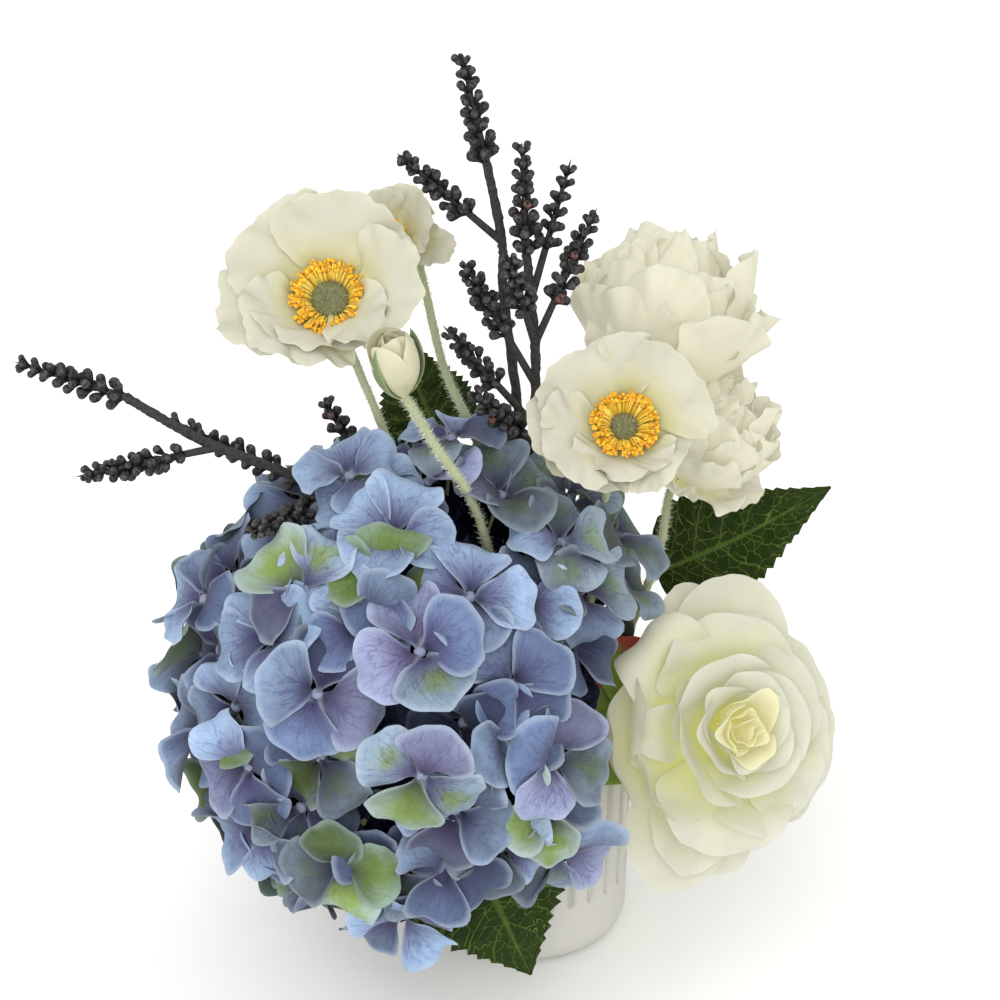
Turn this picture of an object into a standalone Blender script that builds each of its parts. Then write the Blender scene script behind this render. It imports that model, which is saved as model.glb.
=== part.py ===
"""Potted artificial arrangement: a mop-head hydrangea with a rose, poppies, ruffled blooms,
berry sprays and leaves, in a fluted cylindrical pot.

Metres, +Z up. The origin is the centre of the pot's flat underside. The flowers' fronts look along -Y.
Every soft mass is one closed, uneven solid; every stem is one tapering limb.
"""
import math

import bpy
import numpy as np

# ---------------------------------------------------------------- driving dimensions
GAP = 0.0003                      # clearance between two neighbouring solids

POT_RADIUS = 0.0395               # at the rim
POT_BASE_RADIUS = 0.0375          # where the wall rises from its rounded heel
POT_FOOT_RADIUS = 0.0250          # the flat disc that the pot stands on
POT_HEEL = POT_BASE_RADIUS - POT_FOOT_RADIUS
POT_HEIGHT = 0.088
POT_WALL = 0.0035
POT_LIP = 0.0008                  # bevel of the rim
FLUTES = 28
FLUTE_WIDTH = 0.0030
FLUTE_DEPTH = 0.0010
FLUTE_END = 0.0015                # length over which a flute's end runs out
FLUTE_FOOT = 0.026                # height of the flutes' lower ends
FLUTE_HEAD = 0.082
FILL_TOP = POT_HEIGHT - 0.006

HEAD_CENTRE = np.array([-0.040, -0.025, 0.116])
HEAD_RADIUS = 0.090
HEAD_THICKNESS = 0.013            # of each mass of florets, a thin pad
HEAD_INNER = HEAD_RADIUS - HEAD_THICKNESS
HEAD_STEM_HALF = 0.0036
HEAD_STALK_HALF = 0.0016
KNUCKLE = HEAD_CENTRE + np.array([0.004, 0.002, -0.006])   # where the head's stalks part
UPWARD = np.array([0.0, 0.0, 1.0])

POT_ROOM = 0.0012                 # what the masses keep clear of the pot

ROOT = FILL_TOP + GAP             # height at which every stem leaves the filling


# ---------------------------------------------------------------- materials and meshes
def material(name, colour, roughness, metallic=0.0):
    """One Principled material of a plain colour."""
    made = bpy.data.materials.new(name)
    made.use_nodes = True
    shader = made.node_tree.nodes["Principled BSDF"]
    shader.inputs["Base Color"].default_value = (*colour, 1.0)
    shader.inputs["Roughness"].default_value = roughness
    shader.inputs["Metallic"].default_value = metallic
    made.diffuse_color = (*colour, 1.0)
    return made


def make_object(name, points, faces, finish):
    """A mesh object whose faces point out, whichever way its rings were wound."""
    mesh = bpy.data.meshes.new(name)
    volume = sum(np.dot(points[f[0]], np.cross(points[f[i]], points[f[i + 1]]))
                 for f in faces for i in range(1, len(f) - 1))
    if volume < 0:
        faces = [face[::-1] for face in faces]
    mesh.from_pydata([tuple(p) for p in points], [], faces)
    mesh.shade_smooth()
    mesh.set_sharp_from_angle(angle=math.radians(40))
    mesh.materials.append(finish)
    made = bpy.data.objects.new(name, mesh)
    bpy.context.scene.collection.objects.link(made)
    return made


def skin(name, rings, start, end, finish):
    """A closed solid over a stack of rings with equal numbers of points, closed by a pole at each end."""
    rings = np.asarray(rings, float)
    count, sides = rings.shape[:2]
    points = np.vstack([rings.reshape(-1, 3), [start], [end]])
    first_pole = count * sides
    last_pole = first_pole + 1
    faces = []
    for side in range(sides):
        after = (side + 1) % sides
        faces.append((first_pole, after, side))
        for ring in range(count - 1):
            low = ring * sides
            high = low + sides
            faces.append((low + side, low + after, high + after, high + side))
        top = (count - 1) * sides
        faces.append((top + side, top + after, last_pole))
    return make_object(name, points, faces, finish)


def unit(vector):
    """The vector at length one."""
    vector = np.asarray(vector, float)
    return vector / np.linalg.norm(vector)


def direction(azimuth, elevation):
    """Unit vector at an azimuth from +X and an elevation above level, in degrees."""
    a = math.radians(azimuth)
    e = math.radians(elevation)
    return np.array([math.cos(e) * math.cos(a), math.cos(e) * math.sin(a), math.sin(e)])


def across(axis, level=UPWARD):
    """Two unit vectors square to an axis: one level, one rising."""
    side = unit(np.cross(level, axis))
    return side, np.cross(axis, side)


# ---------------------------------------------------------------- limbs
def smooth_path(points, count):
    """A Catmull-Rom curve through the given points, read at evenly shared parameters."""
    points = np.asarray(points, float)
    guide = np.vstack([2 * points[0] - points[1], points, 2 * points[-1] - points[-2]])
    spans = len(points) - 1
    t = np.linspace(0, spans, count)
    span = np.minimum(t.astype(int), spans - 1)
    u = (t - span)[:, None]
    a, b, c, d = (guide[span + i] for i in range(4))
    return 0.5 * (2 * b + (c - a) * u + (2 * a - 5 * b + 4 * c - d) * u ** 2
                  + (3 * b - a - 3 * c + d) * u ** 3)


def path_rings(path, radii, sides, uneven=0.0, ends=(None, None)):
    """Rings square to a path; their frame is carried along it, and uneven swells every other point."""
    tangents = np.gradient(path, axis=0)
    tangents /= np.linalg.norm(tangents, axis=1)[:, None]
    for index, way in zip((0, -1), ends):
        if way is not None:
            tangents[index] = way
    side = unit(np.cross(tangents[0], (0.31, 0.87, 0.38)))
    turns = np.linspace(0, 2 * math.pi, sides, endpoint=False)
    rings = []
    for index, (point, tangent, radius) in enumerate(zip(path, tangents, radii)):
        side = unit(side - tangent * side.dot(tangent))
        rise = np.cross(tangent, side)
        swell = radius * (1 + uneven * np.cos((turns * 3) + index * 2.1))
        rings.append(point + swell[:, None] * (np.outer(np.cos(turns), side) + np.outer(np.sin(turns), rise)))
    return np.array(rings)


def limb(name, points, root_radius, tip_radius, finish, ends=(None, None), count=9, sides=6):
    """One tapering round limb along a smooth path, flat at both ends. Ends give the ways that its
    first and last faces look, where they aren't square to the path. Its path is returned."""
    path = smooth_path(points, count)
    radii = np.linspace(root_radius, tip_radius, count)
    rings = path_rings(path, radii, sides, ends=ends)
    skin(name, rings, path[0], path[-1], finish)
    return path


def along(path, share):
    """The point at a share of a path's parameter."""
    place = share * (len(path) - 1)
    low = min(int(place), len(path) - 2)
    return path[low] + (place - low) * (path[low + 1] - path[low])


SPIKE_PROFILE = [(0.0, 0.55), (0.16, 0.95), (0.40, 1.0), (0.64, 0.82), (0.86, 0.48)]
SPIKE_STALK = 0.0011              # half thickness of a side spike's bare stalk


def spike(name, stem, share, tip, radius, bare, finish):
    """A spike of berries: a lumpy spindle from its stem to its fine tip. At the stem's end it goes
    straight on. From the stem's side it starts at the stem's skin with a bare stalk, for that share
    of its length, and the sharper its angle to the stem the later the stalk is full."""
    joint = along(stem, share)
    way = unit(tip - joint)
    stem_half = SPRAY_HALF + share * (SPRAY_TIP_HALF - SPRAY_HALF)
    growth = unit(along(stem, min(share + 0.05, 1.0)) - along(stem, share - 0.05))
    slant = np.linalg.norm(np.cross(growth, way))
    foot = joint + way * (GAP if share == 1.0 else (stem_half + 1.5 * GAP) / slant)
    length = np.linalg.norm(tip - foot)
    stations = [(bare + 0.02 + (0.98 - bare) * step, radius * swell) for step, swell in SPIKE_PROFILE]
    if bare > 0:
        lead = (GAP + SPIKE_STALK * growth.dot(way) / slant) / length
        stations = [(max(lead, 0.02), SPIKE_STALK), (bare - 0.04, SPIKE_STALK)] + stations
    path = foot + np.outer([step for step, _ in stations], tip - foot)
    rings = path_rings(path, [half for _, half in stations], 6, uneven=0.14)
    skin(name, rings, foot, tip, finish)


# ---------------------------------------------------------------- soft masses
def bloom(name, centre, facing, width, height, profile, lobes, phase, finish, ruffle=0.10, sides=18):
    """An open bloom as one closed dish. The profile runs from the front's middle over the rim to the
    back's middle, as (share of the radius, distance along the facing); lobes notch its outline."""
    centre = np.asarray(centre, float)
    facing = unit(facing)
    side, rise = across(facing)
    turns = np.linspace(0, 2 * math.pi, sides, endpoint=False)
    outline = 1 - ruffle * np.abs(np.sin(0.5 * lobes * turns + phase)) ** 3
    outline *= 1 + 0.5 * ruffle * np.cos(2 * turns + 1.7 * phase)
    rings = []
    for share, stand in profile[1:-1]:
        grow = 1 + (outline - 1) * share
        flat = np.outer(width * np.cos(turns), side) + np.outer(height * np.sin(turns), rise)
        lift = stand + 0.05 * width * share * np.sin(lobes * turns + phase)
        rings.append(centre + share * grow[:, None] * flat + np.outer(lift, facing))
    front = centre + profile[0][1] * facing
    back = centre + profile[-1][1] * facing
    skin(name, rings, front, back, finish)
    return back - GAP * facing


def bud(finish):
    """The closed bud, an egg that is fuller towards its foot."""
    path = BUD_FOOT + np.outer([share for share, _ in BUD_PROFILE], BUD_TIP - BUD_FOOT)
    halves = BUD_HALF * np.array([swell for _, swell in BUD_PROFILE])
    skin("bud", path_rings(path, halves, 12, uneven=0.04), BUD_FOOT, BUD_TIP, finish)


def head_stalks(finish):
    """The head's stem, up from the filling to its knuckle, and the stalks that part from there."""
    way = [(-0.015, -0.009, ROOT), (-0.028, -0.016, 0.098), tuple(KNUCKLE)]
    limb("head_stem", way, HEAD_STEM_HALF, 0.85 * HEAD_STEM_HALF, finish, ends=(UPWARD, None))
    for name, mass in HEAD_STALKS.items():
        azimuth, elevation, _ = HEAD_SEEDS[mass]
        end = HEAD_CENTRE + (HEAD_INNER - 2.5 * GAP) * direction(azimuth, elevation)
        start = KNUCKLE + (HEAD_STEM_HALF + 2 * GAP) * unit(end - KNUCKLE)
        limb("head_stalk_" + name, [start, end], HEAD_STALK_HALF, 0.8 * HEAD_STALK_HALF, finish, count=4)


def head_masses(seeds, open_seeds, finish):
    """The mop head's masses: thin domed pads that meet along the planes halfway between their seeds.
    Each pad is a polar grid about its seed's direction, as far as those planes in every turn. Open
    seeds claim their share of the ball and leave it empty."""
    sides = 14
    steps = (0.35, 0.70, 1.0)
    turns = np.linspace(0, 2 * math.pi, sides, endpoint=False)
    ways = {name: direction(azimuth, elevation) for name, (azimuth, elevation, _) in seeds.items()}
    rivals = list(ways.values()) + [direction(*seed) for seed in open_seeds]
    shy = 0.5 * GAP / HEAD_INNER
    pads = []
    for name, (_, _, radius) in seeds.items():
        axis = ways[name]
        side, rise = across(axis, (0.2, 0.1, 1.0))
        spokes = np.outer(np.cos(turns), side) + np.outer(np.sin(turns), rise)
        reach = np.full(sides, math.radians(38))
        for rival in rivals:
            normal = axis - rival
            if normal.dot(normal) < 1e-9:
                continue
            lean = -(spokes @ normal)
            limit = np.where(lean > 1e-9, np.arctan2(axis.dot(normal), lean), math.pi)
            reach = np.minimum(reach, limit - shy)

        def shell(step, level):
            angle = step * reach[:, None]
            ways_out = np.cos(angle) * axis + np.sin(angle) * spokes
            return HEAD_CENTRE + np.asarray(level).reshape(-1, 1) * ways_out

        lump = np.sin(3 * turns + 5 * axis[0]) * np.cos(2 * turns + 7 * axis[1])
        outer = [shell(step, radius * (1.03 - 0.06 * step ** 2 + 0.035 * step * lump)) for step in steps]
        inner = [shell(step, HEAD_INNER) for step in steps[::-1]]
        rings = outer + inner
        pads.append(skin(name, rings, HEAD_CENTRE + 1.03 * radius * axis, HEAD_CENTRE + HEAD_INNER * axis,
                         finish))
    return pads


def leaf(name, stalk, tip, width, up, arch, finish, thickness=0.0010, teeth=9):
    """A stalked leaf as one thin solid: round along its stalk, then a folded blade with toothed
    edges that is widest a third of the way to its tip."""
    stalk = np.asarray(stalk, float)
    base = stalk[-1]
    tip = np.asarray(tip, float)
    stem = smooth_path(stalk, LEAF_STALK_RINGS)[:-1]
    shares = np.linspace(0, 1, 2 * teeth + 1)[:-1]
    blade = base + np.outer(shares, tip - base)
    blade[:, 2] += arch * np.sin(math.pi * shares)
    path = np.vstack([stem, blade])
    tangents = np.gradient(path, axis=0)
    tangents[0] = UPWARD
    half_stem = np.full(len(stem), LEAF_STALK_HALF)
    swell = np.sin(math.pi * shares ** 0.62) ** 0.8
    toothed = swell * (1 + 0.09 * (-1.0) ** np.arange(len(shares)))
    half = np.concatenate([half_stem, np.maximum(0.5 * width * toothed, LEAF_STALK_HALF)])
    fold = np.concatenate([np.zeros(len(stem)), 0.16 * half[len(stem):]])
    thick = np.concatenate([half_stem, np.full(len(shares), 0.5 * thickness)])
    rings = []
    for point, tangent, reach, dip, skin_depth in zip(path, tangents, half, fold, thick):
        flat = unit(np.cross(tangent, up))
        over = unit(np.cross(flat, tangent))
        rings.append([point + flat * reach + over * dip,
                      point + over * skin_depth,
                      point - flat * reach + over * dip,
                      point - over * skin_depth])
    skin(name, rings, path[0], tip, finish)


# ---------------------------------------------------------------- pot
def wall_radius(height):
    """The pot's outer radius where its wall leans out, from the heel to the rim."""
    return POT_BASE_RADIUS + (POT_RADIUS - POT_BASE_RADIUS) * (height - POT_HEEL) / (POT_HEIGHT - POT_HEEL)


def pot(finish):
    """A cup turned from one profile, with three points round it for each flute: the middle one dips."""
    half = 0.5 * FLUTE_WIDTH / POT_RADIUS
    middles = np.linspace(0, 2 * math.pi, FLUTES, endpoint=False)
    turns = (middles[:, None] + np.array([-half, 0.0, half])).ravel()
    dipped = np.tile([0.0, FLUTE_DEPTH, 0.0], FLUTES)
    outside = [(POT_FOOT_RADIUS + POT_HEEL * math.sin(a), POT_HEEL * (1 - math.cos(a)), 0)
               for a in np.radians((0, 30, 60, 90))]
    for height, fluted in ((FLUTE_FOOT, 0), (FLUTE_FOOT + FLUTE_END, 1), (FLUTE_HEAD - FLUTE_END, 1),
                           (FLUTE_HEAD, 0), (POT_HEIGHT - POT_LIP, 0)):
        outside.append((wall_radius(height), height, fluted))
    outside.append((POT_RADIUS - POT_LIP, POT_HEIGHT, 0))
    inside = [(POT_RADIUS - POT_WALL, POT_HEIGHT, 0), (POT_BASE_RADIUS - POT_WALL, POT_HEEL, 0),
              (POT_FOOT_RADIUS, POT_WALL, 0)]
    rings = []
    for radius, height, fluted in outside + inside:
        reach = radius - fluted * dipped
        rings.append(np.column_stack([reach * np.cos(turns), reach * np.sin(turns),
                                      np.full(len(turns), height)]))
    skin("pot", rings, (0, 0, 0), (0, 0, POT_WALL), finish)


def level_rings(stations, sides=28):
    """Level circles, one for each (radius, height)."""
    turns = np.linspace(0, 2 * math.pi, sides, endpoint=False)
    return [np.column_stack([radius * np.cos(turns), radius * np.sin(turns), np.full(sides, height)])
            for radius, height in stations]


def pot_fill(finish):
    """The moulded filling that holds the stems, a plug clear of the pot's wall and floor."""
    clear = POT_WALL + 1.7 * GAP
    floor = POT_WALL + GAP
    stations = [(POT_FOOT_RADIUS - 2 * GAP, floor), (POT_BASE_RADIUS - clear, POT_HEEL + GAP),
                (wall_radius(FILL_TOP) - clear, FILL_TOP)]
    skin("pot_fill", level_rings(stations), (0, 0, floor), (0, 0, FILL_TOP), finish)


# ---------------------------------------------------------------- places, in metres
# Mop-head masses: azimuth and elevation of each seed from the head's centre, and its outer radius.
HEAD_SEEDS = {
    "head_top": (-90, 84, 0.092),
    "head_upper_front": (-92, 38, 0.092),
    "head_upper_right": (-18, 41, 0.092),
    "head_upper_back_right": (52, 38, 0.095),
    "head_upper_back": (124, 38, 0.090),
    "head_upper_left": (196, 38, 0.088),
    "head_front_right": (-53, -10, 0.087),
    "head_front": (-104, -12, 0.092),
    "head_left": (-158, -12, 0.085),
    "head_back_left": (148, -12, 0.086),
    "head_back": (100, -10, 0.089),
    "head_back_right": (46, -6, 0.088),
    "head_low_front": (-122, -56, 0.090),
    "head_low_left": (168, -56, 0.085),
}
# Shares of the ball left empty: the rose's place, and the ball's underside over the pot.
HEAD_OPEN = [(-12, -2), (-58, -50), (0, -50), (60, -52), (110, -60), (0, -90)]
# The head's stalks, each named for the side that it reaches, and the mass that it ends in.
HEAD_STALKS = {
    "front": "head_upper_front",
    "left": "head_upper_left",
    "back": "head_upper_back",
    "low_front": "head_front",
    "low_left": "head_left",
}

# Bloom profiles, from the front's middle over the rim to the back's middle.
DISH = [(0, 0.004), (0.30, 0.006), (0.68, 0.006), (1.0, 0.011), (0.97, 0.008), (0.60, -0.003),
        (0.22, -0.008), (0, -0.009)]
SMALL_DISH = [(share, 0.55 * stand) for share, stand in DISH]
BALL = [(0, 0.024), (0.40, 0.023), (0.78, 0.014), (1.0, -0.002), (0.88, -0.014), (0.50, -0.026),
        (0, -0.030)]
SMALL_BALL = [(share, 0.8 * stand) for share, stand in BALL]
ROSETTE = [(0, 0.024), (0.30, 0.023), (0.62, 0.014), (1.0, 0.003), (0.98, -0.001), (0.60, -0.012),
           (0.25, -0.021), (0, -0.023)]

# Each bloom's middle, the way that it faces, its half width and half height, its form, and the
# points that its stem passes on its way up from the filling.
BLOOMS = {
    "poppy_left": dict(centre=(-0.072, -0.010, 0.268), facing=(-0.08, -0.72, 0.69), width=0.037,
                       height=0.034, profile=DISH, lobes=5, phase=0.4,
                       way=[(-0.014, -0.004, ROOT), (-0.036, -0.006, 0.150), (-0.047, -0.004, 0.195)]),
    "poppy_small": dict(centre=(-0.040, 0.024, 0.272), facing=(-0.42, -0.62, 0.66), width=0.019,
                        height=0.018, profile=SMALL_DISH, lobes=4, phase=0.9,
                        way=[(-0.004, 0.012, ROOT), (-0.010, 0.013, 0.150), (-0.016, 0.013, 0.192)]),
    "poppy_right": dict(centre=(0.032, -0.028, 0.2230), facing=(0.04, -0.76, 0.65), width=0.034,
                        height=0.031, profile=DISH, lobes=5, phase=1.2,
                        way=[(0.012, -0.010, ROOT), (0.022, -0.014, 0.140), (0.027, -0.010, 0.182)]),
    "ruffled_top": dict(centre=(0.052, 0.040, 0.242), facing=(0.22, 0.30, 0.93), width=0.040,
                        height=0.034, profile=BALL, lobes=7, phase=0.3,
                        way=[(0.010, 0.012, ROOT), (0.026, 0.024, 0.150), (0.038, 0.032, 0.185)]),
    "ruffled_right": dict(centre=(0.073, 0.022, 0.193), facing=(0.45, -0.10, 0.89), width=0.033,
                          height=0.028, profile=SMALL_BALL, lobes=6, phase=0.8,
                          way=[(0.021, 0.001, ROOT), (0.040, 0.006, 0.118), (0.055, 0.014, 0.150)]),
    "rose": dict(centre=(0.0675, -0.040, 0.102), facing=(0.30, -0.80, 0.48), width=0.043,
                 height=0.056, profile=ROSETTE, lobes=5, phase=0.1,
                 way=[(0.023, -0.011, ROOT), (0.034, -0.012, 0.096)]),
}
BLOOM_LEAD = 0.012                # straight end of a stem behind its bloom
STEM_HALF = 0.0017
ROSE_STEM_HALF = 0.0023

BUD_FOOT = np.array([-0.0394, -0.046, 0.2428])
BUD_TIP = np.array([-0.0488, -0.050, 0.2662])
BUD_HALF = 0.0105
BUD_PROFILE = [(0.10, 0.45), (0.30, 0.88), (0.52, 1.0), (0.75, 0.80), (0.93, 0.38)]
BUD_WAY = [(0.000, -0.014, ROOT), (-0.006, -0.030, 0.130), (-0.0157, -0.046, 0.194),
           (-0.027, -0.047, 0.2185)]

# Each spray's stem, as the points that it passes, and its spikes: share of the stem, tip, half
# thickness, and the share of the spike that is bare stalk.
SPRAYS = {
    "spray_tall": dict(
        way=[(-0.008, 0.004, ROOT), (-0.004, 0.010, 0.150), (-0.003, 0.013, 0.200),
             (-0.0085, 0.014, 0.2503), (-0.0092, 0.014, 0.2721), (-0.0144, 0.014, 0.3013)],
        spikes={"tip": (1.0, (-0.0232, 0.014, 0.3420), 0.0075, 0.0),
                "side": (0.80, (-0.0453, 0.006, 0.3085), 0.0072, 0.12)}),
    "spray_middle": dict(
        way=[(0.003, 0.000, ROOT), (0.003, 0.001, 0.150), (0.002, 0.002, 0.190),
             (0.0028, 0.003, 0.229), (0.001, 0.003, 0.255), (-0.0012, 0.003, 0.2778)],
        spikes={"tip": (1.0, (-0.0024, 0.003, 0.3138), 0.0066, 0.0),
                "right_high": (0.80, (0.0148, 0.016, 0.3025), 0.0050, 0.42),
                "right": (0.60, (0.0235, 0.000, 0.2907), 0.0068, 0.40),
                "left": (0.56, (-0.0230, -0.010, 0.2758), 0.0070, 0.40),
                "left_low": (0.48, (-0.0297, -0.008, 0.2499), 0.0062, 0.40),
                "low": (0.44, (-0.0190, -0.022, 0.2230), 0.0055, 0.30)}),
    "spray_left": dict(
        way=[(-0.020, 0.002, ROOT), (-0.048, -0.004, 0.150), (-0.074, -0.016, 0.194),
             (-0.112, -0.030, 0.2157), (-0.1383, -0.035, 0.2353)],
        spikes={"tip": (1.0, (-0.1745, -0.040, 0.2508), 0.0075, 0.0),
                "front": (0.72, (-0.1538, -0.058, 0.2162), 0.0070, 0.22),
                "back": (0.66, (-0.1283, -0.008, 0.2167), 0.0055, 0.25),
                "low": (0.58, (-0.0943, -0.072, 0.2060), 0.0066, 0.22)}),
    "spray_back": dict(
        way=[(-0.014, 0.014, ROOT), (-0.044, 0.028, 0.150), (-0.060, 0.036, 0.188)],
        spikes={"tip": (1.0, (-0.0735, 0.038, 0.2040), 0.0055, 0.0)}),
}
SPRAY_HALF = 0.0019
SPRAY_TIP_HALF = 0.0013

# Each leaf's stalk, as the points that it passes from the filling to the blade; the blade's tip and
# width; the way that its face looks; and how far its middle stands above the straight line.
LEAVES = {
    "leaf_right": dict(stalk=[(0.022, 0.016, ROOT), (0.034, 0.024, 0.105), (0.050, 0.030, 0.124)],
                       tip=(0.1106, 0.022, 0.1720), width=0.044, up=(-0.30, -0.80, 0.52), arch=-0.002),
    "leaf_upper": dict(stalk=[(-0.006, 0.022, ROOT), (-0.022, 0.038, 0.140), (-0.032, 0.051, 0.176)],
                       tip=(-0.048, 0.062, 0.214), width=0.036, up=(0.10, -0.95, 0.30), arch=0.0),
    "leaf_front": dict(stalk=[(-0.004, -0.024, ROOT), (-0.005, -0.034, 0.0925), (-0.006, -0.046, 0.088),
                              (-0.006, -0.054, 0.074)],
                       tip=(0.0013, -0.070, 0.0214), width=0.042, up=(0.0, -0.95, 0.25), arch=0.0),
    "leaf_back": dict(stalk=[(0.004, 0.024, ROOT), (0.006, 0.034, 0.094), (0.010, 0.050, 0.102),
                             (0.014, 0.064, 0.108)],
                      tip=(0.030, 0.118, 0.112), width=0.044, up=(0.05, 0.25, 0.95), arch=0.008),
    "leaf_back_left": dict(stalk=[(-0.014, 0.022, ROOT), (-0.023, 0.033, 0.094), (-0.034, 0.048, 0.090),
                                  (-0.044, 0.066, 0.082)],
                           tip=(-0.066, 0.110, 0.060), width=0.042, up=(-0.15, 0.45, 0.88), arch=0.008),
}
LEAF_STALK_HALF = 0.0009
LEAF_STALK_RINGS = 7


# ---------------------------------------------------------------- assembly
def clear_scene():
    """Remove whatever objects the opened file holds."""
    for thing in list(bpy.data.objects):
        bpy.data.objects.remove(thing, do_unlink=True)


def cutter_tube(path, radius):
    """A guide that keeps a limb's way through the masses free."""
    rings = path_rings(path, np.full(len(path), radius + 1.5 * GAP), 10)
    guide = skin("way", rings, path[0], path[-1], None)
    guide.hide_render = True
    guide.display_type = "WIRE"
    return guide


def cut(target, cutter):
    """A Boolean difference that leaves the cutter out of the model."""
    trim = target.modifiers.new("trim", "BOOLEAN")
    trim.operation = "DIFFERENCE"
    trim.object = cutter
    trim.solver = "EXACT"


def assemble():
    """Make every piece of the arrangement."""
    ceramic = material("white ceramic", (0.52, 0.51, 0.48), 0.45)
    filling = material("filling", (0.10, 0.09, 0.07), 0.95)
    floret = material("blue floret fabric", (0.20, 0.28, 0.55), 0.75)
    cream = material("cream petal fabric", (0.78, 0.77, 0.64), 0.75)
    green = material("leaf fabric", (0.03, 0.06, 0.02), 0.65)
    pale_green = material("hairy stem", (0.42, 0.46, 0.30), 0.85)
    dark = material("dark berry", (0.05, 0.045, 0.05), 0.60)

    pot(ceramic)
    pot_fill(filling)

    ways = []
    for name, plan in BLOOMS.items():
        way = plan.pop("way")
        seat = bloom(name, finish=cream, **plan)
        facing = unit(plan["facing"])
        points = way + [tuple(seat - BLOOM_LEAD * facing), tuple(seat)]
        half = ROSE_STEM_HALF if name == "rose" else STEM_HALF
        path = limb(name + "_stem", points, half, 0.8 * half, pale_green, ends=(UPWARD, facing))
        ways.append(cutter_tube(path, half))

    bud_way = unit(BUD_TIP - BUD_FOOT)
    points = BUD_WAY + [tuple(BUD_FOOT - GAP * bud_way)]
    path = limb("bud_stem", points, STEM_HALF, 0.8 * STEM_HALF, pale_green, ends=(UPWARD, bud_way))
    ways.append(cutter_tube(path, STEM_HALF))
    bud(cream)

    for name, plan in SPRAYS.items():
        path = limb(name + "_stem", plan["way"], SPRAY_HALF, SPRAY_TIP_HALF, dark, ends=(UPWARD, None),
                    count=13)
        ways.append(cutter_tube(path, SPRAY_HALF))
        for place, (share, tip, half, bare) in plan["spikes"].items():
            spike(name + "_" + place, path, share, tip, half, bare, dark)

    for name, plan in LEAVES.items():
        leaf(name, finish=green, **plan)
        path = smooth_path(plan["stalk"], LEAF_STALK_RINGS)
        beyond = path[-1] + 0.15 * (np.array(plan["tip"]) - path[-1])
        ways.append(cutter_tube(np.vstack([path, beyond]), LEAF_STALK_HALF))

    pads = head_masses(HEAD_SEEDS, HEAD_OPEN, floret)
    head_stalks(green)

    roof = POT_HEIGHT + POT_ROOM
    reach = POT_RADIUS + POT_ROOM
    room = skin("pot_room", level_rings([(reach, -POT_ROOM), (reach, roof)]), (0, 0, -POT_ROOM),
                (0, 0, roof), None)
    room.hide_render = True
    room.display_type = "WIRE"
    for pad in pads:
        for cutter in ways + [room]:
            cut(pad, cutter)


clear_scene()
assemble()
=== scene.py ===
# %% [markdown]
# # A silk hydrangea arrangement in a fluted pot
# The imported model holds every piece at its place, in metres. Each plain solid in it stands for many
# small things: florets, petals, berries, hairs. This lesson makes those as surfaces worked out with
# numpy, a whole batch of petals or berries at a time, and hides the solid that they stand for.

import math

import bpy
import numpy as np
from mathutils import Matrix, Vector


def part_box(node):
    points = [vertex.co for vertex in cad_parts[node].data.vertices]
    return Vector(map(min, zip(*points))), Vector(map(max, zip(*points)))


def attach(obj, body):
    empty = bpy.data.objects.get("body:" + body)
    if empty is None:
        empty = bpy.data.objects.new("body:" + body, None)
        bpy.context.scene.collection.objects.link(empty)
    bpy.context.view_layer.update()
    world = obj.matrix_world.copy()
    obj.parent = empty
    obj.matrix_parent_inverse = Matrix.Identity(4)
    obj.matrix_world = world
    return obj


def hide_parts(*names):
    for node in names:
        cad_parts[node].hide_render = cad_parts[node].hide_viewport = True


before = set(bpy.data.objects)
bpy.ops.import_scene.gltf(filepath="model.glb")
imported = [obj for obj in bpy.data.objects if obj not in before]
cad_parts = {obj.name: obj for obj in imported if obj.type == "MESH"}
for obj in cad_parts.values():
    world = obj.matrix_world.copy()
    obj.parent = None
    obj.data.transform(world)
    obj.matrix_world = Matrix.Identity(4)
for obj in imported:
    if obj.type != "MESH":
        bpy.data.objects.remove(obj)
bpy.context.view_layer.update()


# %% [markdown]
# ## Directions
# Every piece is first made in its own little frame, growing along +Y and facing +Z, and then laid in
# place. A frame is three unit vectors. Written as the columns of a matrix, they turn a piece's own
# points into the room's, and a stack of such matrices turns a thousand pieces at once.

# %% Directions and frames
def unit(vectors):
    """Vectors at length one, along the last axis."""
    vectors = np.asarray(vectors, float)
    return vectors / np.linalg.norm(vectors, axis=-1, keepdims=True)


def frames(facing, level=(0.0, 0.0, 1.0)):
    """Matrices whose columns are side, rise and facing: side is square to level, rise to both."""
    facing = unit(np.atleast_2d(facing))
    side = unit(np.cross(level, facing))
    return np.stack([side, np.cross(facing, side), facing], axis=-1)


def turned(axes, angles):
    """Frames turned about their own facing, so that +Y points at an angle from the old side."""
    c, s = np.cos(angles), np.sin(angles)
    o = np.zeros_like(c)
    turn = np.stack([np.stack([s, c, o], -1), np.stack([-c, s, o], -1), np.stack([o, o, o + 1], -1)], -2)
    return axes @ turn


def laid(points, axes, places):
    """Points of many pieces, (pieces, points, 3), carried into the room by frames and places."""
    return np.asarray(places)[:, None, :] + np.einsum("nij,nvj->nvi", axes, points)


def eased(share):
    """A share from 0 to 1 that starts and stops gently: 3 s² - 2 s³."""
    share = np.clip(share, 0.0, 1.0)
    return share * share * (3 - 2 * share)


# %% [markdown]
# ## From grids to meshes
# A petal is a thin closed shell: a front grid and a back grid that share their border. A stem or a
# berry is a tube closed by a pole at each end. How such points are joined is the same for every copy,
# so it is worked out once, as a weave, and a piece is many copies of a few weaves. Each copy also gets
# its own square of the piece's bake map, so that no two surfaces share a spot when it is baked.

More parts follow.
